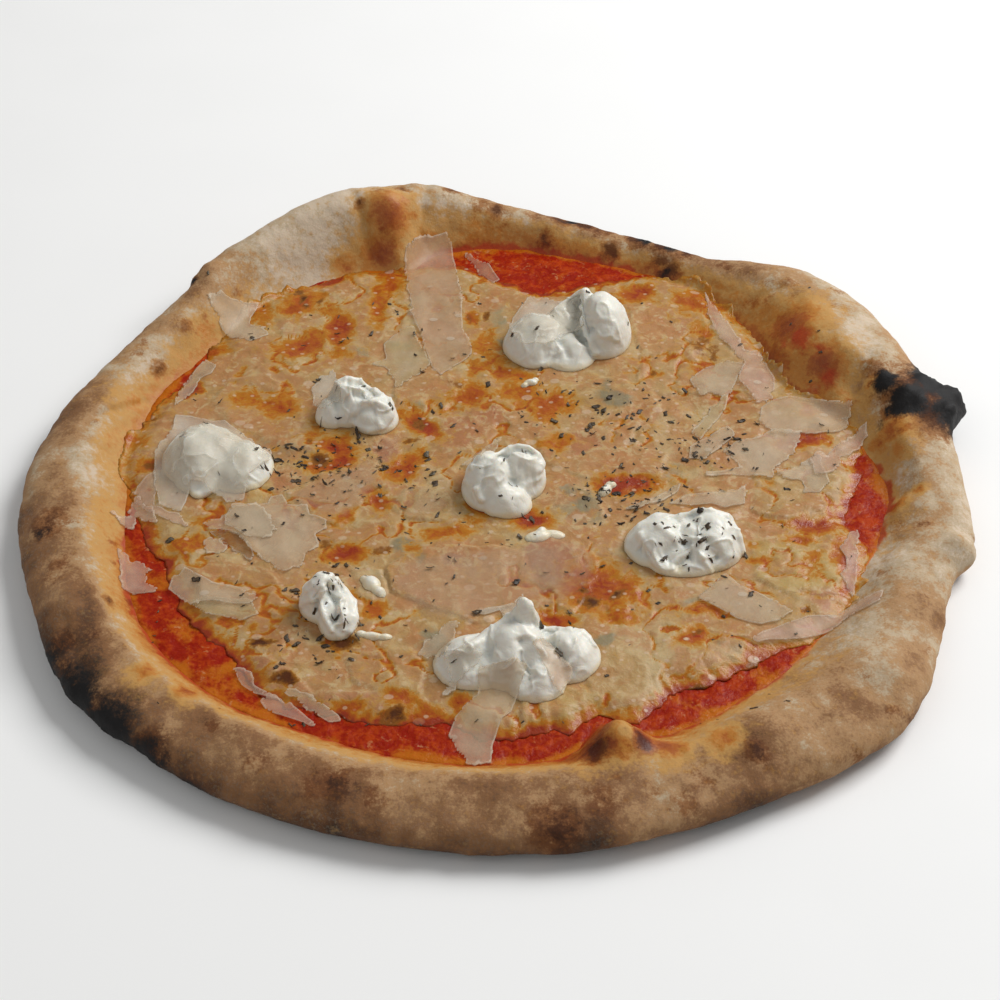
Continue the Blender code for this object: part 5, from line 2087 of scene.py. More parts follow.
MELTED_PATCHES: dict[Pool, tuple[Patch, ...]] = {
    Pool.AMBER: (
        (-81, 44, 8, 7, 0, 1), (-35, 12, 5, 11, -29, 1), (-14, 50, 7, 8, 16, 1), (4, 52, 10, 6, 13, 0.9),
        (29, -48, 12, 11, 0, 1.2), (-21, -22, 9, 4, 7, 0.9), (57, -69, 5, 5, 26, 1), (-44, -58, 5, 4, 0, 1),
        (-56, -70, 4, 3, 0, 0.8), (-80, -66, 3, 3, 0, 0.7), (-33, -30, 3, 3, 0, 0.6),
        (18, 25, 4, 9, -71, 0.8), (-77, 107, 8, 9, -16, 1), (-93, 99, 6, 9, 0, 0.9), (-45, 127, 6, 19, 0, 1),
        (-49, 107, 4, 16, 0, 0.9), (-132, 25, 7, 6, 0, 0.8), (-134, -6, 5, 10, 0, 0.8),
        (69, 107, 8, 9, 0, 0.9), (71, 88, 5, 9, 0, 0.6), (53, 63, 3, 3, 0, 1), (77, 107, 9, 12, -46, 0.8),
        (98, -38, 5, 7, 0, 0.6), (119, -28, 5, 7, 0, 0.9), (-8, 79, 5, 11, 0, 0.8), (35, -61, 9, 4, 0, 0.7),
        (2, 61, 8, 5, 0, 0.8), (-3, 70, 5, 6, 0, 0.6), (9, -93, 9, 3, 11, 0.6), (61, -58, 8, 3, -11, 0.7),
        (-55, -14, 6, 3, 29, 0.8), (-13, -16, 5, 4, 0, 0.6), (-67, 101, 6, 6, 0, 0.7),
        (-62, 76, 6, 7, 0, 0.6), (-101, -16, 5, 4, 0, 0.7), (-130, -47, 5, 7, 0, 0.8),
        (-107, -54, 4, 5, 0, 0.5), (-51, -54, 3, 6, 0, 0.5), (-65, 36, 5, 5, 0, 0.7), (-24, 44, 4, 4, 0, 0.5),
        (82, -35, 3, 3, 0, 0.7), (78, -28, 3, 3, 0, 0.6), (-64, -49, 3, 6, 0, 0.5),
        (-89, -26, 9, 3, -27, 0.6),
    ),
    Pool.ORANGE: (
        (-30, 33, 5, 11, 43, 1), (-59, 21, 6, 7, 0, 0.9), (-60, 13, 10, 4, 18, 1), (-43, -7, 3, 6, 0, 0.9),
        (15, -62, 7, 4, -27, 1), (-53, -32, 7, 5, 15, 0.9), (15, 44, 8, 9, -54, 0.8),
        (-77, 79, 6, 11, -41, 0.8), (-63, 88, 5, 11, 0, 0.9), (-92, 47, 7, 6, 0, 0.6),
        (-108, 76, 7, 5, 0, 0.8), (-123, 12, 5, 5, 0, 0.8), (50, 112, 7, 6, 0, 0.9), (41, 107, 4, 6, 0, 0.6),
        (70, 64, 4, 9, 0, 0.5), (102, 25, 10, 5, 15, 0.9), (107, 43, 4, 5, 0, 0.7), (115, 47, 5, 8, 0, 0.8),
        (103, -19, 10, 4, 6, 0.9), (96, -26, 7, 3, 0, 0.7), (110, -35, 4, 10, 0, 0.8),
        (-14, 96, 3, 5, 0, 0.8), (-10, 67, 5, 5, 0, 0.6), (-25, -103, 6, 5, 0, 0.8), (-14, -97, 4, 4, 0, 0.7),
        (39, -103, 6, 4, 0, 0.6), (67, -59, 8, 2, -11, 0.7), (79, -76, 4, 4, 0, 0.8), (-10, -9, 5, 6, 0, 0.6),
        (-82, 101, 5, 6, 0, 0.8), (-113, 70, 5, 5, 0, 0.5), (-105, -28, 7, 4, 15, 0.7),
        (-130, -35, 5, 7, 0, 0.8), (-94, -72, 6, 5, -26, 0.8), (-49, -97, 7, 2, 0, 0.7),
        (-33, -97, 7, 3, 0, 0.7), (-68, 30, 4, 5, 0, 0.6),
    ),
    Pool.RED: (
        (41, 2, 11, 5, 7, 0.9), (6, -15, 7, 5, -15, 0.9), (-114, 53, 6, 4, 46, 1), (-122, -21, 4, 7, 0, 0.9),
        (-67, 123, 6, 3, 46, 1.1), (110, -47, 3, 5, 0, 0.6),
    ),
    Pool.BAKED: (
        (-77, -72, 3.5, 2.2, -7, 1), (-69, -88, 3.4, 2.5, 0, 1), (-52, -74, 4.1, 2.6, -7, 1),
        (-60, -62, 1.9, 1.3, 0, 0.5), (26, -54, 2.9, 2.3, 0, 1), (34, -51, 1.9, 2.3, 0, 0.9),
        (24, -49, 1.8, 1.3, -40, 0.7), (-31, 34, 2.5, 3.3, 0, 0.7), (-34, 25, 2.8, 2.2, 0, 0.5),
        (-78, 108, 1.5, 2.6, 0, 0.9), (-81, 113, 1.9, 2.6, 0, 0.8), (-71, 107, 1.5, 2.5, 0, 0.7),
        (-76, 103, 1.5, 1.9, 0, 0.8), (-86, 121, 1.9, 2, 0, 0.9), (58, -94, 3.9, 3.5, 25, 1.1),
        (80, -79, 4, 3.1, 36, 1), (66, -99, 2.4, 2.4, 0, 0.9), (-35, -103, 3.7, 2.8, 26, 0.9),
        (71, 79, 3.3, 5.4, 0, 0.5), (76, 75, 2.2, 4.8, 0, 0.5), (107, 33, 3.2, 2.7, 0, 0.6),
        (53, 63, 1.5, 2.3, 0, 0.7), (-8, 97, 1.9, 1.9, 0, 0.7), (-15, 96, 1.5, 3.1, 0, 0.5),
        (-19, 56, 2.2, 2.3, 0, 0.5), (-132, -23, 3.3, 2.4, 0, 1), (-128, -55, 2.6, 3.6, 0, 1),
        (-131, -42, 2.6, 2.3, 0, 0.6), (-122, -55, 1.9, 2.7, 0, 0.7), (-134, -38, 2, 1.9, 0, 0.6),
        (-123, 12, 3.4, 2.6, 0, 0.5), (-126, 39, 2.8, 2.8, 0, 0.5), (-108, 79, 2.6, 2.4, 0, 0.5),
        (95, -58, 2.5, 1.8, 0, 0.6), (122, -44, 3.3, 2.2, 26, 1), (-66, 15, 3, 2.5, -28, 0.8),
        (-69, 25, 1.7, 2.2, 0, 0.5), (-60, -28, 2.6, 2.4, 0, 0.5), (-42, -31, 3.4, 2.3, -14, 0.6),
        (-102, -72, 2.2, 2.6, 0, 0.5), (57, -67, 1.9, 1.3, 0, 0.5),
    ),
    Pool.VEIN: (
        (-35, -29, 5, 4, 41, 0.8), (-30, -34, 3, 3, 0, 0.6), (38, 48, 6, 5, 15, 1), (37, 56, 3, 5, 0, 0.6),
        (-48, 35, 5, 3, 0, 0.5), (-34, 39, 5, 7, 0, 0.6), (30, -72, 5, 3, -7, 0.9), (25, -78, 2, 3, 0, 0.6),
        (-20, -78, 6, 7, 27, 0.5), (-25, -72, 6, 5, 39, 0.7), (-12, -93, 3, 6, -26, 0.7),
        (24, -9, 5, 5, -15, 0.7), (20, -1, 4, 3, 0, 0.6), (58, -55, 4, 3, 14, 0.5), (56, 9, 4, 7, 0, 0.5),
        (-3, 94, 4, 10, 0, 0.5), (-1, 79, 4, 7, 0, 0.6), (-79, 19, 7, 5, -15, 0.5), (-84, 25, 6, 4, 0, 0.4),
        (-67, 5, 4, 3, 0, 0.4), (72, -74, 4, 3, 0, 0.5), (66, -72, 3, 2, 0, 0.5), (-42, 79, 6, 3, -30, 0.5),
        (-55, 75, 7, 3, -30, 0.4), (-42, -44, 3, 4, 0, 0.4), (-100, -23, 3, 3, 0, 0.4),
        (78, 20, 4, 4, 0, 0.4), (57, -42, 4, 4, 0, 0.5), (-10, 70, 4, 5, 0, 0.4), (-35, -105, 2, 2, 0, 0.5),
        (68, -103, 5, 2, 25, 0.6),
    ),
}

SPOONFULS: tuple[Spoonful, ...] = (
    Spoonful(
        (
            Lobe(11, 79, 13.2, 13.6, 11.5, 0.72), Lobe(22, 74, 10.5, 10.5, 7.5, 0.85),
            Lobe(34.5, 84.5, 11.2, 14.4, 18, 0.68), Lobe(29, 94, 6.5, 6, 14, 0.7),
            Lobe(21, 90, 8, 7, 10.5, 0.7),
        ),
        (
            Curl((
                (17.5, 90.6, 8.6, 1), (20, 93.4, 8.4, 1.2), (23, 94.8, 9.4, 1.4), (26.2, 95.4, 11.6, 1.7),
                (28.7, 95.4, 12.7, 1.9),
            )),
            Curl((
                (27.8, 94.5, 12.6, 2.2), (28, 91, 10.1, 2.2), (28, 79.8, 11.1, 2.2), (29.4, 74.9, 7.6, 2),
                (32, 71.6, 2.9, 1.8),
            )),
        ),
        (
            Fold(((22.5, 95), (24.5, 90.6), (26.6, 77.3), (29.5, 71.8)), 2.2, -3, 0.3),
            Fold(((18.5, 87), (22.3, 90.1), (25.2, 90.5)), 2.6, -2.2),
            Fold(((11.5, 68.1), (17.3, 67.5), (23.9, 68.3)), 2, -0.8),
            Fold(((18.9, 74.3), (21, 69.5), (21.7, 66.1)), 1.4, -0.7, 0.3),
            Fold(((33.5, 85.5), (37.7, 77.4), (37.8, 72.7)), 5, 0.6, 0.3),
        ),
    ),
    Spoonful(
        (
            Lobe(-56, 41, 9.8, 9.2, 13.6, 0.72), Lobe(-47, 36, 8.4, 8.6, 10.6, 0.72),
            Lobe(-62, 38, 6.4, 6.4, 9, 0.8),
        ),
        (
            Curl((
                (-59.9, 42.8, 10.9, 1.7), (-56.4, 43.3, 12.1, 2.1), (-52.7, 43.7, 10.7, 2.2),
                (-50, 43.5, 8, 2.2), (-46.4, 39.1, 8.6, 2.1), (-41.9, 37.1, 6.6, 2), (-41.8, 32.6, 4.8, 2),
                (-44.5, 29.4, 3, 1.8), (-48.7, 28.8, 1.7, 1.7), (-53.1, 31.9, 2, 1.5),
            )),
            Curl((
                (-54.1, 34.1, 5.5, 1.6), (-50.1, 34.5, 8.3, 1.8), (-45.9, 33.9, 9.2, 1.7),
                (-42.8, 33.8, 7.2, 1.6),
            )),
            Curl(((-59.8, 41.3, 11.6, 1.2), (-55.4, 39.1, 12.4, 1.4), (-51.3, 39.1, 10.2, 1.3))),
        ),
        (
            Fold(((-57.6, 41.5), (-53.4, 41), (-49.5, 43), (-45.6, 35.8)), 1.5, -1.9, 0.3),
            Fold(((-54.7, 36.5), (-51.3, 37.3), (-47.7, 36.7)), 1.6, -1.9, 0.2),
            Fold(((-52.7, 33), (-49.3, 31.9), (-45.5, 31.6)), 1.3, -1.1),
            Fold(((-63.1, 41.3), (-59.7, 35.8), (-55.4, 34.9)), 1.8, -1.3),
        ),
    ),
    Spoonful(
        (
            Lobe(-104, 14, 15.5, 15.3, 11, 0.62), Lobe(-92, 10, 11.6, 13, 8.8, 0.7),
            Lobe(-105, 4, 9, 8, 7, 0.8),
        ),
        (
            Curl((
                (-106.3, -3.8, 0.3, 1.3), (-105, -3.9, 0.3, 1.9), (-102, -2.4, 1.3, 2),
                (-99.8, 0.3, 2.8, 1.4),
            )),
        ),
        (
            Fold(((-105.3, 14.5), (-97.5, 9.5), (-88.9, 2.6)), 3.4, -0.9),
            Fold(((-112, 17.2), (-106.1, 7.7), (-102.9, -0.3)), 3, 0.9),
        ),
    ),
    Spoonful(
        (
            Lobe(-6, -1, 10.2, 11.5, 14.6, 0.72), Lobe(4, 3.5, 8.8, 10, 14.6, 0.66),
            Lobe(-1, -8, 9, 7.5, 8.5, 0.75),
        ),
        (
            Curl((
                (-7.7, 0.2, 13.2, 1.1), (-3.5, 3.4, 11.7, 1.4), (-0.6, 6.6, 10.4, 1.6), (3, 6.9, 12.5, 1.9),
                (6.6, 6.4, 12.2, 2), (9.2, 5.4, 10.2, 2.1), (10.6, 4, 7.6, 2.1), (9.8, 0.6, 7.4, 1.6),
                (6.8, -1.6, 8.8, 1.1),
            )),
            Curl(((2.4, 3.6, 12.9, 1.5), (6.1, 2.4, 12.4, 1.7), (8.1, 1.4, 10.6, 1.2))),
            Curl(((-12, -1.8, 10, 1.2), (-12.1, -1.7, 10, 1.2))),
            Curl(((-9.6, 0.6, 12.2, 1.3), (-9.5, 0.7, 12.2, 1.3))),
            Curl(((-9.2, -4.2, 10.6, 1.2), (-9.1, -4.3, 10.6, 1.2))),
            Curl(((-10.6, -8, 6.8, 1.5), (-9.2, -10.4, 4.6, 1.4))),
            Curl(((-4.6, -3, 13.2, 1), (-3, -1.6, 13.4, 1))),
        ),
        (
            Fold(((-6.3, -1.1), (-2, 3.1), (2.4, 5), (7.1, 4.9), (9.5, 3.7)), 1.3, -2, 0.2),
            Fold(((1.7, -1.6), (5.7, -2.9), (9.8, -1.7)), 1.7, -1.2),
            Fold(((-8, -2.8), (-8.7, -7), (-7.7, -9.6)), 1.2, -0.7),
            Fold(((1, -3.8), (2.4, -8.8)), 1.6, -0.6),
        ),
    ),
    Spoonful(
        (
            Lobe(50, -28.5, 12.4, 11.6, 10, 0.78), Lobe(64, -28.5, 13, 13, 12, 0.72),
            Lobe(57, -36, 12.6, 8, 7, 0.85),
        ),
        (
            Curl((
                (38.8, -31, 0.3, 1.1), (39.6, -28.4, 2.6, 1.7), (43.2, -25.4, 6, 1.9), (49, -22, 6.6, 2),
                (55.1, -23.7, 6.4, 2.1), (60.8, -22.1, 8.5, 2.1), (66.8, -22.4, 8.7, 2.2),
                (72.2, -23.6, 6, 2.3), (74.4, -28.9, 4.7, 2.1), (75.9, -31.4, 0.5, 1.8),
            )),
            Curl((
                (42.9, -30.3, 6.3, 1.6), (45.6, -36, 4.4, 1.8), (48.8, -39.6, 2, 1.7), (51.3, -42.2, 0.4, 1),
            )),
            Curl(((58.5, -35.6, 6.7, 1.6), (62.6, -39.3, 4, 1.7), (65.4, -41.3, 0.3, 0.9))),
            Curl(((71.6, -33.5, 6.7, 1.3), (70.9, -37.1, 3.8, 1.4), (69, -39.6, 1, 1))),
        ),
        (
            Fold(((50.7, -40.1), (54.5, -37.7), (58.5, -34.6)), 2.2, -1.9, 0.3),
            Fold(((53.9, -42.8), (57, -40.4), (59.6, -39.3)), 1.8, -2.6),
            Fold(((68.3, -39.9), (66.8, -38.1), (63.6, -35.1)), 2.2, -2, 0.3),
            Fold(((58.2, -21.8), (60.9, -30.2), (59.1, -34.8)), 3.2, -2, 0.2),
            Fold(((45.5, -38.6), (42.8, -35.7), (41.6, -32.7)), 1.8, -1.6),
            Fold(((47.8, -28.5), (51.5, -33.1), (55.4, -34.8)), 1.6, 0.9, 0.6),
        ),
    ),
    Spoonful(
        (
            Lobe(-59, -57, 7.8, 7.8, 14, 0.72), Lobe(-54, -63, 6.6, 9, 9.5, 0.7),
            Lobe(-62, -56, 5.2, 5.7, 11, 0.8),
        ),
        (
            Curl((
                (-56.3, -54.9, 11.3, 1.4), (-58.4, -60, 11.6, 1.7), (-61.6, -61.3, 8.5, 1.7),
                (-65.6, -59, 3.3, 1.3),
            )),
            Curl((
                (-54.9, -55.1, 9.7, 1.6), (-52.9, -55.2, 5.1, 1.9), (-50, -59.6, 4.5, 2),
                (-49.1, -65.2, 3.4, 2), (-50.3, -69, 1.6, 1.7),
            )),
            Curl(((-59.1, -62.6, 7.3, 1.4), (-57.4, -66.5, 5.4, 1.5), (-55.4, -70, 3.3, 1.3))),
            Curl(((-53.1, -63, 8.8, 1.1), (-52.6, -67.4, 6.9, 1.2), (-52, -69.8, 3.3, 1))),
        ),
        (
            Fold(((-55.4, -57.6), (-55.7, -61.7), (-54.8, -68), (-53.6, -70.4)), 2, -2.6, 0.2),
            Fold(((-60.7, -61.6), (-59.9, -63.4)), 1.3, -1.4),
            Fold(((-51.3, -62), (-50.8, -66.9)), 0.9, -0.9),
        ),
    ),
    Spoonful(
        (
            Lobe(2, -80, 16, 14, 13.5, 1), Lobe(16, -79.5, 12.5, 11, 10, 0.85),
            Lobe(-11, -82, 13, 11.5, 9.5, 0.95), Lobe(8, -90, 9.5, 8.5, 8, 1),
            Lobe(4.5, -73, 5.5, 5.5, 20.5, 1),
        ),
        (
            Curl((
                (5.1, -72.2, 18.1, 0.7), (5.9, -73.4, 17.2, 1.3), (7.5, -73.4, 13, 1.9),
                (8.8, -73.4, 6.8, 2.2), (12.1, -73.9, 5.5, 2.3), (18, -75, 7.2, 2.3), (22.3, -75.2, 5, 2.2),
                (25, -77.8, 3.5, 1.8),
            )),
            Curl((
                (4.3, -73.7, 17.9, 1.5), (1.3, -72.3, 12, 2), (-2.3, -74.3, 8.9, 2.2),
                (-6.7, -76.7, 7.1, 2.2), (-10.9, -82.2, 8.9, 2.1), (-15.2, -83.9, 7.6, 2),
                (-18.9, -83.3, 5, 1.5),
            )),
            Curl((
                (6.5, -76, 11, 1.2), (8.6, -82.8, 9.3, 1.3), (11.4, -86, 6, 1.3), (13.7, -91.8, 3, 1.2),
                (15.6, -94.2, 0.3, 0.9),
            )),
            Curl(((-1.5, -82.9, 10.4, 1.3), (-4.2, -87, 6.4, 1.4), (-6.1, -90.8, 1.2, 1.3))),
            Curl(((20, -80.1, 8.3, 1.5), (21.5, -83.7, 5.9, 1.5), (20.2, -87.1, 3.3, 1.2))),
        ),
        (
            Fold(((10.8, -77.8), (14.7, -83.8), (17.8, -87.5)), 2.4, -2.8, 0.2),
            Fold(((3.1, -81.9), (4.3, -88), (5.5, -95.1)), 2.4, -2.4, 0.2),
            Fold(((-4.8, -81.4), (-9.7, -86.3), (-14.6, -88.7)), 2, -1.6),
            Fold(((8.8, -73.1), (10.2, -74.1), (15.2, -74.3)), 1.4, -1.2),
        ),
    ),
)

CRUMBS: tuple[Spoonful, ...] = (
    Spoonful((Lobe(32.5, -1.5, 3.2, 2, 2.4, 0.7, 55), Lobe(34.5, 1.6, 2.3, 1.6, 1.9, 0.8, 20))),
    Spoonful((
        Lobe(9.5, -24.6, 4.6, 3, 1.7, 0.8, 15), Lobe(15, -23.4, 3.8, 2.2, 1.3, 0.9, -10),
        Lobe(10.5, -22.4, 2.6, 1.7, 2, 0.8, 60),
    )),
    Spoonful((
        Lobe(8, 57, 2.6, 1.6, 1.9, 0.8, -10), Lobe(6, 56, 1.8, 1.3, 1.3, 0.9, 40),
        Lobe(9.6, 58.3, 1.6, 1.2, 1.5, 0.8),
    )),
    Spoonful((
        Lobe(-44.4, -46.6, 3.6, 3, 2.3, 0.8, -60), Lobe(-42, -50, 3, 2, 1.6, 0.9, -40),
        Lobe(-46.4, -44.6, 2, 1.8, 1.5, 0.8),
    )),
    Spoonful((
        Lobe(-43, -70, 3.4, 1.8, 1.9, 0.8, -5), Lobe(-39, -70.6, 2.5, 1.4, 1.3, 0.9, 10),
        Lobe(-46.5, -69.2, 2, 1.5, 1.5, 0.8),
    )),
)

SCRAPS: tuple[Scrap, ...] = (
    Scrap(1, Tint.PEACH, 0.1, (
        (-38, -36.5), (-22.5, -32.5), (9.5, -27), (15.5, -35.5), (18.5, -46.5), (10, -54), (-12.5, -64),
        (-25, -62), (-35, -54), (-39, -44.5),
    )),
    Scrap(2, Tint.STRAW, 0.2, (
        (-41.5, -5.5), (-37, -0.5), (-28.5, 1.5), (-20.5, -1.5), (-18.5, -8), (-23, -13.5), (-32.5, -16),
        (-39, -13),
    )),
    Scrap(3, Tint.PEACH, 0.2, ((-75, -2.5), (-47, 17), (-41.5, 2), (-54.5, -15.5), (-65, -13), (-73, -9))),
    Scrap(4, Tint.PINK, 0.2, ((-48, 21.5), (-40, 30.5), (-36.5, 25), (-37, 18), (-41, 11), (-45, 13))),
    Scrap(5, Tint.PINK, 0.2, (
        (10, -25.5), (17.5, -23), (26.5, -29.5), (29.5, -35), (28, -44), (16, -59), (6, -37.5), (3.5, -29.5),
    )),
    Scrap(6, Tint.STRAW, 0.7, (
        (-50, 67.5), (-44.5, 71), (-46, 79.5), (-40, 88), (-36, 90.5), (-28.5, 68.5), (-31, 64), (-39.5, 54),
        (-41, 55.5), (-43.5, 64), (-45, 66),
    )),
    Scrap(7, Tint.PEACH, 0.8, (
        (-38.5, 136), (-34, 142), (-24, 146), (-22, 144), (-17.5, 107.5), (-17, 89.5), (-13, 77), (-14, 72.5),
        (-24.5, 62), (-28, 67), (-35.5, 96), (-40, 131),
    )),
    Scrap(8, Tint.PINK, 0.5, (
        (-17, 142.5), (-12.5, 136), (-7.5, 133.5), (-3, 122.5), (-5.5, 119.5), (-11.5, 127),
    )),
    Scrap(9, Tint.PALE, 0.7, (
        (-112, 96), (-107, 100), (-104, 100), (-94, 105.5), (-94.5, 101.5), (-97, 97), (-95.5, 92),
        (-90.5, 90), (-89, 85), (-95.5, 81), (-103.5, 86),
    )),
    Scrap(9, Tint.PALE, 0.3, (
        (-111, 72.5), (-106, 67), (-107.5, 62.5), (-111.5, 60.5), (-113.5, 52.5), (-119, 43), (-119, 51),
        (-115.5, 63),
    )),
    Scrap(12, Tint.GREY, 0.4, (
        (65.5, 58.5), (71.5, 66), (80.5, 70), (86.5, 68.5), (79.5, 50.5), (76.5, 48.5), (68.5, 49.5),
    )),
    Scrap(10, Tint.PLAIN, 0.6, (
        (94, 47), (101, 50), (109.5, 48.5), (120.5, 41.5), (120.5, 37.5), (117.5, 37.5), (120.5, 34.5),
        (116, 30), (102.5, 28), (93, 29), (88, 35), (89.5, 42.5),
    )),
    Scrap(13, Tint.STRAW, 0.6, ((78.5, 49), (77, 42), (67, 25), (64, 29.5), (76.5, 48.5))),
    Scrap(14, Tint.GREY, 0.7, ((79, 27), (68, 14.5), (62, 15.5), (63, 21), (68, 24.5), (77, 33), (79, 29.5))),
    Scrap(11, Tint.PALE, 0.9, (
        (67, 8.5), (67.5, 6.5), (77, 6.5), (90, 5), (92, 11.5), (97.5, 17), (102.5, 28.5), (93, 30),
        (85.5, 26), (79, 24), (74, 19), (80, 11), (72.5, 8.5),
    )),
    Scrap(15, Tint.PALE, 0.6, (
        (92, 8.5), (99.5, 10.5), (106, 17.5), (107.5, 17), (109, 2), (105, -3), (100, -2), (100, 3.5),
        (93, 5),
    )),
    Scrap(16, Tint.MAUVE, 1.1, (
        (125.5, 32), (125, 26.5), (118, 17.5), (115, 17), (113, 10), (108, 6), (104.5, 6.5), (104, 14.5),
        (107, 17.5), (110, 16.5), (113, 21.5), (123.5, 31.5),
    )),
    Scrap(17, Tint.MAUVE, 1.3, (
        (75, 113), (84.5, 86), (87, 76), (91.5, 75.5), (96.5, 60.5), (95.5, 53.5), (92.5, 45.5), (90, 45),
        (86.5, 49), (83, 57.5), (83.5, 62), (86.5, 68.5), (78.5, 83), (76, 92),
    )),
    Scrap(18, Tint.PALE, 0.8, (
        (54, -8), (60, -3.5), (66.5, -3.5), (80, 0), (79.5, -8.5), (72.5, -10.5), (68, -8.5), (61, -9),
    )),
    Scrap(19, Tint.PALE, 1, (
        (38.5, -10.5), (49, -5.5), (59, 3.5), (57.5, -1.5), (52.5, -6.5), (44.5, -10.5),
    )),
    Scrap(20, Tint.PLAIN, 0.7, (
        (60, -52.5), (70, -42), (73.5, -47), (79.5, -50.5), (90.5, -59.5), (85, -63.5), (79.5, -65),
        (71.5, -61.5),
    )),
    Scrap(21, Tint.MAUVE, 1, (
        (75.5, -71.5), (79.5, -68), (94.5, -61), (103, -59.5), (112.5, -55.5), (119, -54.5), (117, -59),
        (107, -62), (101.5, -66), (93, -69.5), (78, -72.5),
    )),
    Scrap(22, Tint.MAUVE, 1, (
        (114, -20.5), (116, -19), (112, -45), (110, -51), (109.5, -47.5), (107, -42), (109.5, -38.5),
        (110, -34), (108.5, -29),
    )),
    Scrap(23, Tint.MAUVE, 0.5, (
        (-123.5, 5.5), (-120.5, 8), (-119.5, -8), (-114.5, -11.5), (-110.5, -12.5), (-107.5, -18.5),
        (-111.5, -17.5), (-120.5, -11.5), (-125.5, -6.5), (-127, -1.5),
    )),
    Scrap(25, Tint.MAUVE, 0.5, (
        (-126, -4), (-120.5, -10.5), (-116, -17.5), (-124, -14.5), (-124.5, -19.5), (-127.5, -18.5),
        (-132, -14), (-127.5, -12),
    )),
    Scrap(24, Tint.MILKY, 0.5, (
        (-117.5, 38), (-112, 38), (-105, 35), (-100, 35.5), (-92.5, 27), (-86.5, 13), (-82, 17), (-81, 9.5),
        (-87.5, 1), (-89.5, -6), (-94.5, -7.5), (-102.5, -2.5), (-107.5, -1.5), (-110, -12), (-117.5, -8.5),
        (-120.5, 2), (-122, 18.5), (-118, 30.5),
    )),
    # painted shadow: a dark sheet where only the shaded underside of the curl of shaving 27 is seen
    Scrap(26, Tint.BROWN, 0.3, (
        (-99, -22), (-95.5, -21), (-89.5, -22.5), (-85, -27.5), (-83.5, -32.5), (-84, -35.5), (-90, -31),
        (-94, -26),
    )),
    Scrap(26, Tint.PLAIN, 0.5, (
        (-100.5, -26), (-99, -24), (-95.5, -25), (-92.5, -31.5), (-95.5, -33), (-99, -31),
    )),
    Scrap(27, Tint.PLAIN, 1, (
        (-101.5, -18), (-96.5, -16), (-93, -9), (-81, -8), (-80.5, -4.5), (-76.5, -3.5), (-74, -10),
        (-67.5, -10), (-66.5, -14), (-60.5, -16.5), (-61, -20), (-64, -23), (-63, -28), (-66, -32),
        (-68, -38), (-74, -41), (-84.5, -31), (-90.5, -22.5), (-95.5, -21), (-99, -21.5),
    )),
    Scrap(27, Tint.PALE, 0.3, (
        (-92.5, -10.5), (-85.5, -9), (-82, -11.5), (-77, -21.5), (-78.5, -24.5), (-87, -24.5), (-94, -19),
        (-94.5, -14.5),
    )),
    Scrap(28, Tint.STRAW, 0.4, (
        (-101.5, -55), (-97.5, -52.5), (-82.5, -54), (-79.5, -60.5), (-84.5, -62), (-96.5, -60),
    )),
    Scrap(28, Tint.PLAIN, 0.9, (
        (-110, -47.5), (-109, -41.5), (-107, -41.5), (-105.5, -38.5), (-95.5, -46.5), (-86, -49),
        (-80.5, -53), (-82.5, -56.5), (-101.5, -55),
    )),
    Scrap(29, Tint.MAUVE, 0.5, (
        (-128.5, -30), (-125, -32), (-124, -34.5), (-121, -34), (-117, -38), (-118.5, -40), (-117, -44.5),
        (-113.5, -46.5), (-114, -48), (-121.5, -49), (-124.5, -48),
    )),
    Scrap(30, Tint.MAUVE, 0.9, (
        (-85.5, -82.5), (-83.5, -81.5), (-80, -84.5), (-78.5, -89), (-68, -96), (-78, -92.5), (-82.5, -88.5),
    )),
    Scrap(31, Tint.MAUVE, 0.7, (
        (-77, -95), (-74, -93.5), (-68, -96), (-58.5, -104.5), (-59, -106), (-73.5, -99),
    )),
    Scrap(32, Tint.PLAIN, 0.7, (
        (-68, -92.5), (-66, -92), (-62, -93.5), (-52, -101), (-50.5, -103.5), (-54.5, -104), (-64.5, -97),
    )),
    Scrap(33, Tint.MILKY, 0.4, (
        (0.5, 81.5), (1.5, 95), (8.5, 109.5), (21, 105.5), (26.5, 94.5), (27.5, 77.5), (23, 78), (14, 70),
        (5.5, 70), (3, 72.5),
    )),
    Scrap(33, Tint.MILKY, 0.2, ((7, 82), (13.5, 80.5), (19.5, 77), (14, 71), (9.5, 72.5), (6.5, 77.5))),
    Scrap(34, Tint.MILKY, 0.3, (
        (-70.5, 55), (-68, 59.5), (-64, 64), (-62, 59), (-59, 39.5), (-59.5, 37), (-63.5, 35), (-66.5, 36),
        (-69.5, 44.5),
    )),
    Scrap(35, Tint.PALE, 1.3, ((-17.5, 11), (-6, 21.5), (-2.5, 25), (-9.5, -0.5), (-14.5, 11.5))),
    Scrap(36, Tint.GREY, 0.7, ((-29, -78), (-19.5, -64), (-16.5, -65), (-19, -83.5), (-27, -78))),
    Scrap(38, Tint.MILKY, 0.9, (
        (-11, -60.5), (-6.5, -58.5), (1, -57), (4.5, -52), (3.5, -74.5), (-3, -59.5), (-8, -61.5),
    )),
    Scrap(37, Tint.MILKY, 0.4, (
        (-14, -83), (-20, -84.5), (-17.5, -90), (-20.5, -95), (-10, -88), (-8, -84.5),
    )),
    Scrap(38, Tint.PLAIN, 0.5, (
        (-9.5, -88), (-10, -95), (-16.5, -102.5), (-18.5, -109.5), (-12.5, -120), (-8.5, -121),
        (-5.5, -119.5), (-5, -112.5), (-2.5, -104), (0.5, -101.5), (5, -89), (3, -88),
    )),
    Scrap(39, Tint.PEACH, 0.3, ((7, -83), (10.5, -79.5), (19, -87.5), (19, -89), (15, -95.5), (13, -94))),
)

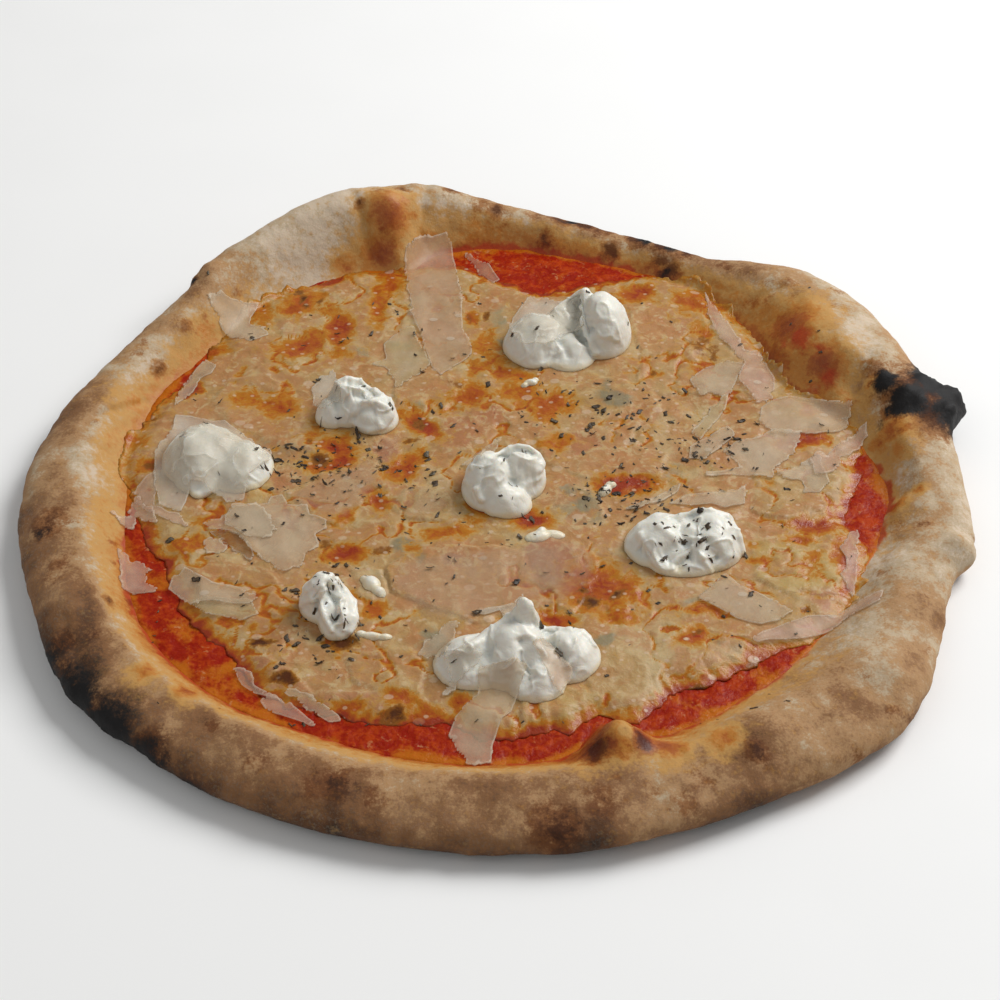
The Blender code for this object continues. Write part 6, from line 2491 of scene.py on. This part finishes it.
HERB_PATCHES: tuple[Scatter, ...] = (
    Scatter(0, 0, 112, 105, 330),
    Scatter(-72, 10, 14, 12, 60),
    Scatter(38, -4, 18, 14, 90),
    Scatter(58, -33, 15, 11, 36),
    Scatter(62, 22, 26, 14, 80),
    Scatter(-58, -60, 14, 24, 80),
    Scatter(-46, 12, 20, 18, 70),
    Scatter(30, 40, 24, 18, 60),
)


def main() -> None:
    """Builds every piece in order, and sets up the camera, the light and the floor."""
    logging.basicConfig(level=logging.INFO, format="%(message)s")
    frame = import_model()
    log.info("%d packed nodes", len(frame["nodes"]))
    rim = Rim()
    surface = Surface()
    crust = Crust(rim, CRUST_MARKS).build()
    sauce = SauceLayer(rim).build()
    surface.add(crust)
    surface.add(sauce)
    cheese = CheeseSheet(rim, MELTED_PIECES, MELTED_PATCHES).build(surface)
    surface.add(cheese)
    for piece in (crust, sauce, cheese):
        Bench.report(piece)
    SoftCheese(SPOONFULS, CRUMBS).build(surface)
    for piece in list(bpy.data.objects):
        if piece.name.startswith(("spoonful_", "morsel_")):
            surface.add(piece)
    Shavings(SCRAPS).build(surface)
    Bench.report(Herbs(HERB_PATCHES).build(surface))
    Studio().build()


if __name__ == "__main__":
    main()
